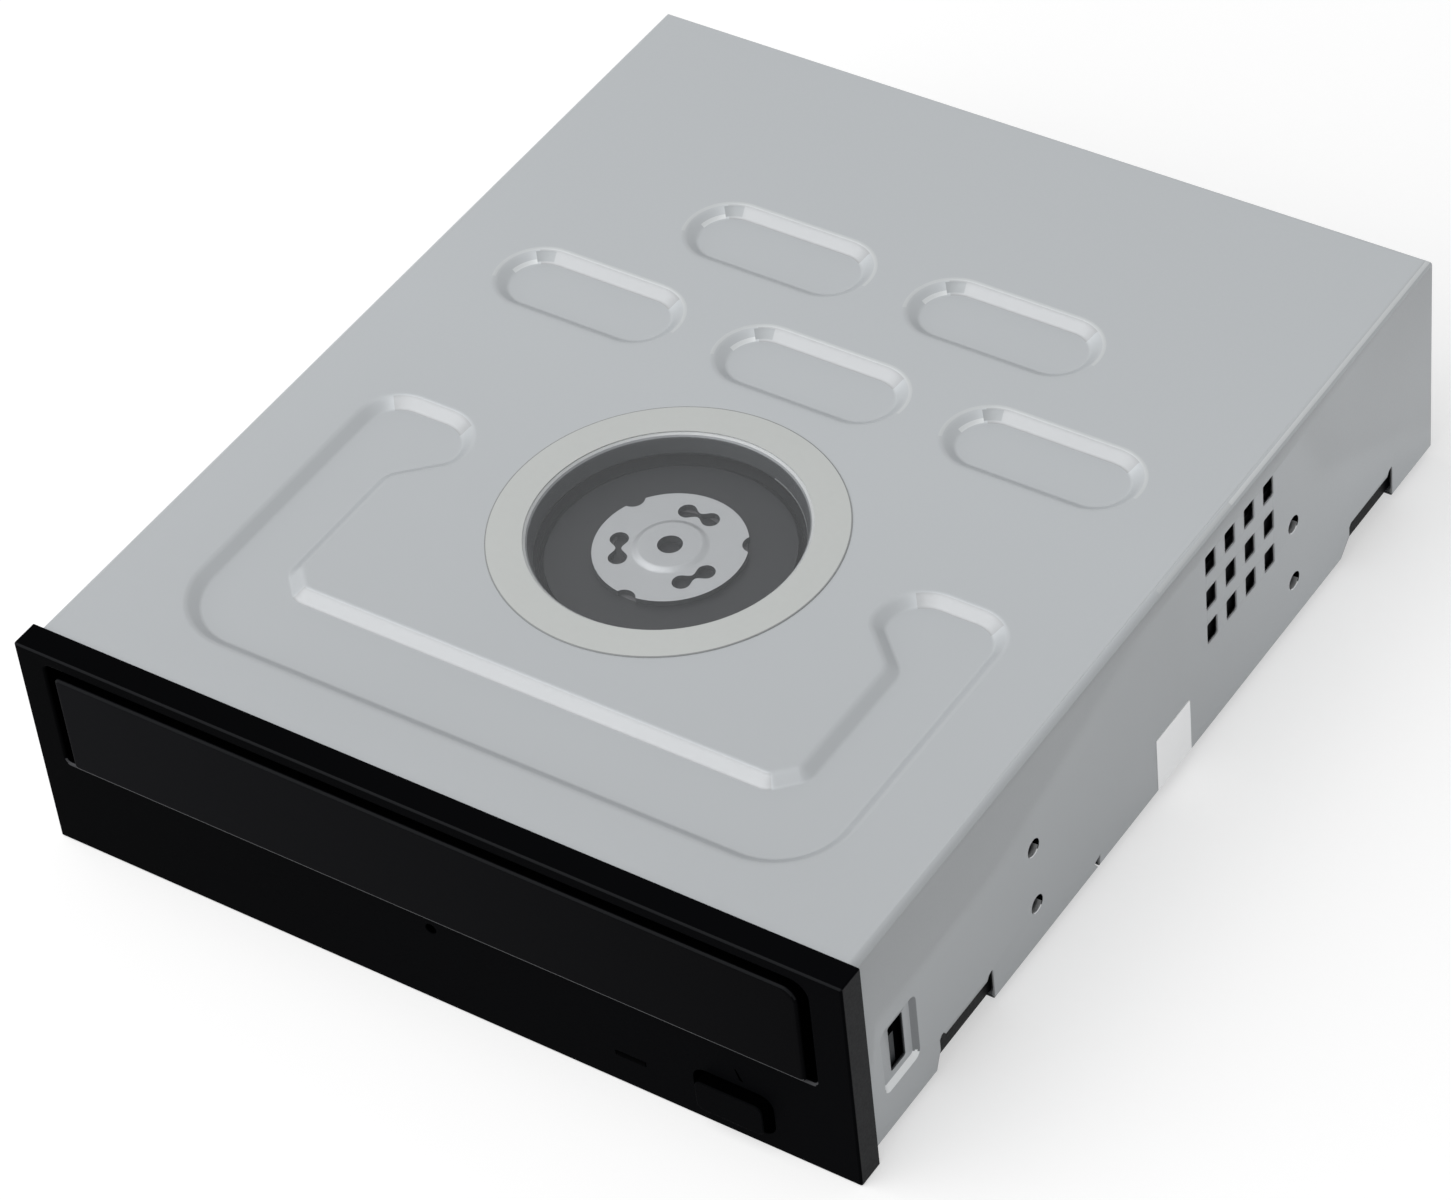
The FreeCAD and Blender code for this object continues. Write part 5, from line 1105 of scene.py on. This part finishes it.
def make_button():
    """Button cap in front of its flange and stem, with painted shade on its sides, flange and stem."""
    (x0, x1), (front, reach), (z0, z1) = local(button_low, button_high)
    inner = panel_inner
    cap = button_corners(button_flange, button_corner_r)
    shape = Shape()
    plate(shape, cap, inner, front, button_edge_r)
    shape.fill(at_y(rounded(cap), inner), drop=1)
    x, z = (x0 + x1) / 2, (z0 + z1) / 2
    stem = rounded(rectangle(x - stem_half, x + stem_half, z - stem_half, z + stem_half, stem_corner_r),
                   steps=small_corner_steps)
    shape.strip([at_y(stem, inner), at_y(stem, reach)])
    shape.fill(at_y(stem, reach), drop=1)
    flange = rounded(button_corners(0, flange_corner_r), steps=small_corner_steps)
    faces = [at_y(flange, inner + back) for back in flange_back]
    for face in faces:
        shape.fill(face, drop=1)
    shape.strip(faces)
    made = make_piece("button_cap", shape, "panel_black", "eject_button", ["eject_button"], up=(0, -1, 0),
                      sharp=plastic_angle, finish=shaded_panel_black)
    paint(made, gap_shade, lambda x, y, z, n: abs(n.y) < near or y > inner - near)


make_panel()
make_door()
make_button()


# Label on the right side

def make_label():
    (inner, outer), (y0, y1), (z0, z1) = local(label_low, label_high)
    corners = rectangle(y0, y1, max(z0, foot_z + foot_bend), z1, label_corner_r)
    loop = rounded(corners, steps=small_corner_steps)
    shape = Shape()
    shape.strip([at_x(loop, inner), at_x(loop, outer)])
    shape.fill(at_x(loop, outer), drop=0)
    shape.fill(at_x(loop, inner), drop=0)
    make_piece("paper_label", shape, "label_white", "root", ["side_label"], up=(1, 0, 0))


make_label()


# Finish of the solids that stay

for part in frame["record"]["subparts"]:
    mesh = frame["nodes"][part["node"]].data
    mesh.materials.clear()
    mesh.materials.append(finishes[part["material_slot"]])
for node in frame["nodes"].values():
    weld = node.modifiers.new("weld", "WELD")
    weld.merge_threshold = weld_gap
    soft = node.modifiers.new("edges", "BEVEL")
    soft.width = edge_width * MM
    soft.segments = edge_segments
    soft.limit_method = "ANGLE"
    soft.angle_limit = math.radians(edge_angle)
    node.modifiers.new("normals", "WEIGHTED_NORMAL")


# Stage, light and camera

def make_floor():
    mesh = bpy.data.meshes.new("floor")
    corners = square(-floor_half, floor_half, -floor_half, floor_half)
    mesh.from_pydata([(x * MM, y * MM, -floor_drop * MM) for x, y in corners], [], [(0, 1, 2, 3)])
    floor = bpy.data.objects.new("floor", mesh)
    bpy.context.scene.collection.objects.link(floor)
    made = bpy.data.materials.new("floor_white")
    made.use_nodes = True
    nodes, links = made.node_tree.nodes, made.node_tree.links
    nodes.clear()
    out = nodes.new("ShaderNodeOutputMaterial")
    matte = new_node(nodes, "ShaderNodeBsdfDiffuse", Color=(floor_grey, floor_grey, floor_grey, 1))
    glow = new_node(nodes, "ShaderNodeEmission", Color=(1, 1, 1, 1))
    add = nodes.new("ShaderNodeAddShader")
    links.new(matte.outputs[0], add.inputs[0])
    links.new(glow.outputs[0], add.inputs[1])
    links.new(add.outputs[0], out.inputs["Surface"])
    links.new(seen_rays(nodes, links, floor_glow), glow.inputs["Strength"])
    mesh.materials.append(made)


def seen_rays(nodes, links, strength):
    """Strength for the rays that see the background, straight or in gloss and glass."""
    path = nodes.new("ShaderNodeLightPath")
    total = path.outputs["Is Camera Ray"]
    for name in ("Is Glossy Ray", "Is Transmission Ray"):
        larger = nodes.new("ShaderNodeMath")
        larger.operation = "MAXIMUM"
        links.new(total, larger.inputs[0])
        links.new(path.outputs[name], larger.inputs[1])
        total = larger.outputs[0]
    scale = nodes.new("ShaderNodeMath")
    scale.operation = "MULTIPLY"
    scale.inputs[1].default_value = strength
    links.new(total, scale.inputs[0])
    return scale.outputs[0]


def make_world():
    """Even white light from all round, stronger for the rays that see it."""
    world = bpy.data.worlds.new("studio")
    bpy.context.scene.world = world
    world.use_nodes = True
    nodes, links = world.node_tree.nodes, world.node_tree.links
    back = nodes["Background"]
    back.inputs["Color"].default_value = (1, 1, 1, 1)
    total = nodes.new("ShaderNodeMath")
    total.inputs[1].default_value = sky_light
    links.new(seen_rays(nodes, links, sky_glow), total.inputs[0])
    links.new(total.outputs[0], back.inputs["Strength"])


def make_lamp(name, azimuth, elevation, distance, size, power):
    """Square area lamp that faces the object. Azimuth 0 is in front, and 90 to the right."""
    data = bpy.data.lights.new(name, "AREA")
    data.shape = "SQUARE"
    data.size = size
    data.energy = power
    lamp = bpy.data.objects.new(name, data)
    a, e = math.radians(azimuth), math.radians(elevation)
    way = Vector((math.sin(a) * math.cos(e), -math.cos(a) * math.cos(e), math.sin(e)))
    lamp.location = way * distance
    lamp.rotation_euler = way.to_track_quat("Z", "Y").to_euler()
    bpy.context.scene.collection.objects.link(lamp)


def make_camera():
    data = bpy.data.cameras.new("camera")
    data.sensor_width = camera_sensor
    data.lens = camera_lens
    camera = bpy.data.objects.new("camera", data)
    roll = Matrix.Rotation(math.radians(camera_roll), 3, "Z")
    turn = Vector(camera_way).to_track_quat("-Z", "Y").to_matrix() @ roll
    camera.matrix_world = Matrix.Translation(Vector(camera_place)) @ turn.to_4x4()
    bpy.context.scene.collection.objects.link(camera)
    bpy.context.scene.camera = camera


make_floor()
make_world()
make_lamp("key", azimuth=-38, elevation=48, distance=1.6, size=2.4, power=30)
make_camera()
bpy.context.scene.view_settings.view_transform = "Standard"
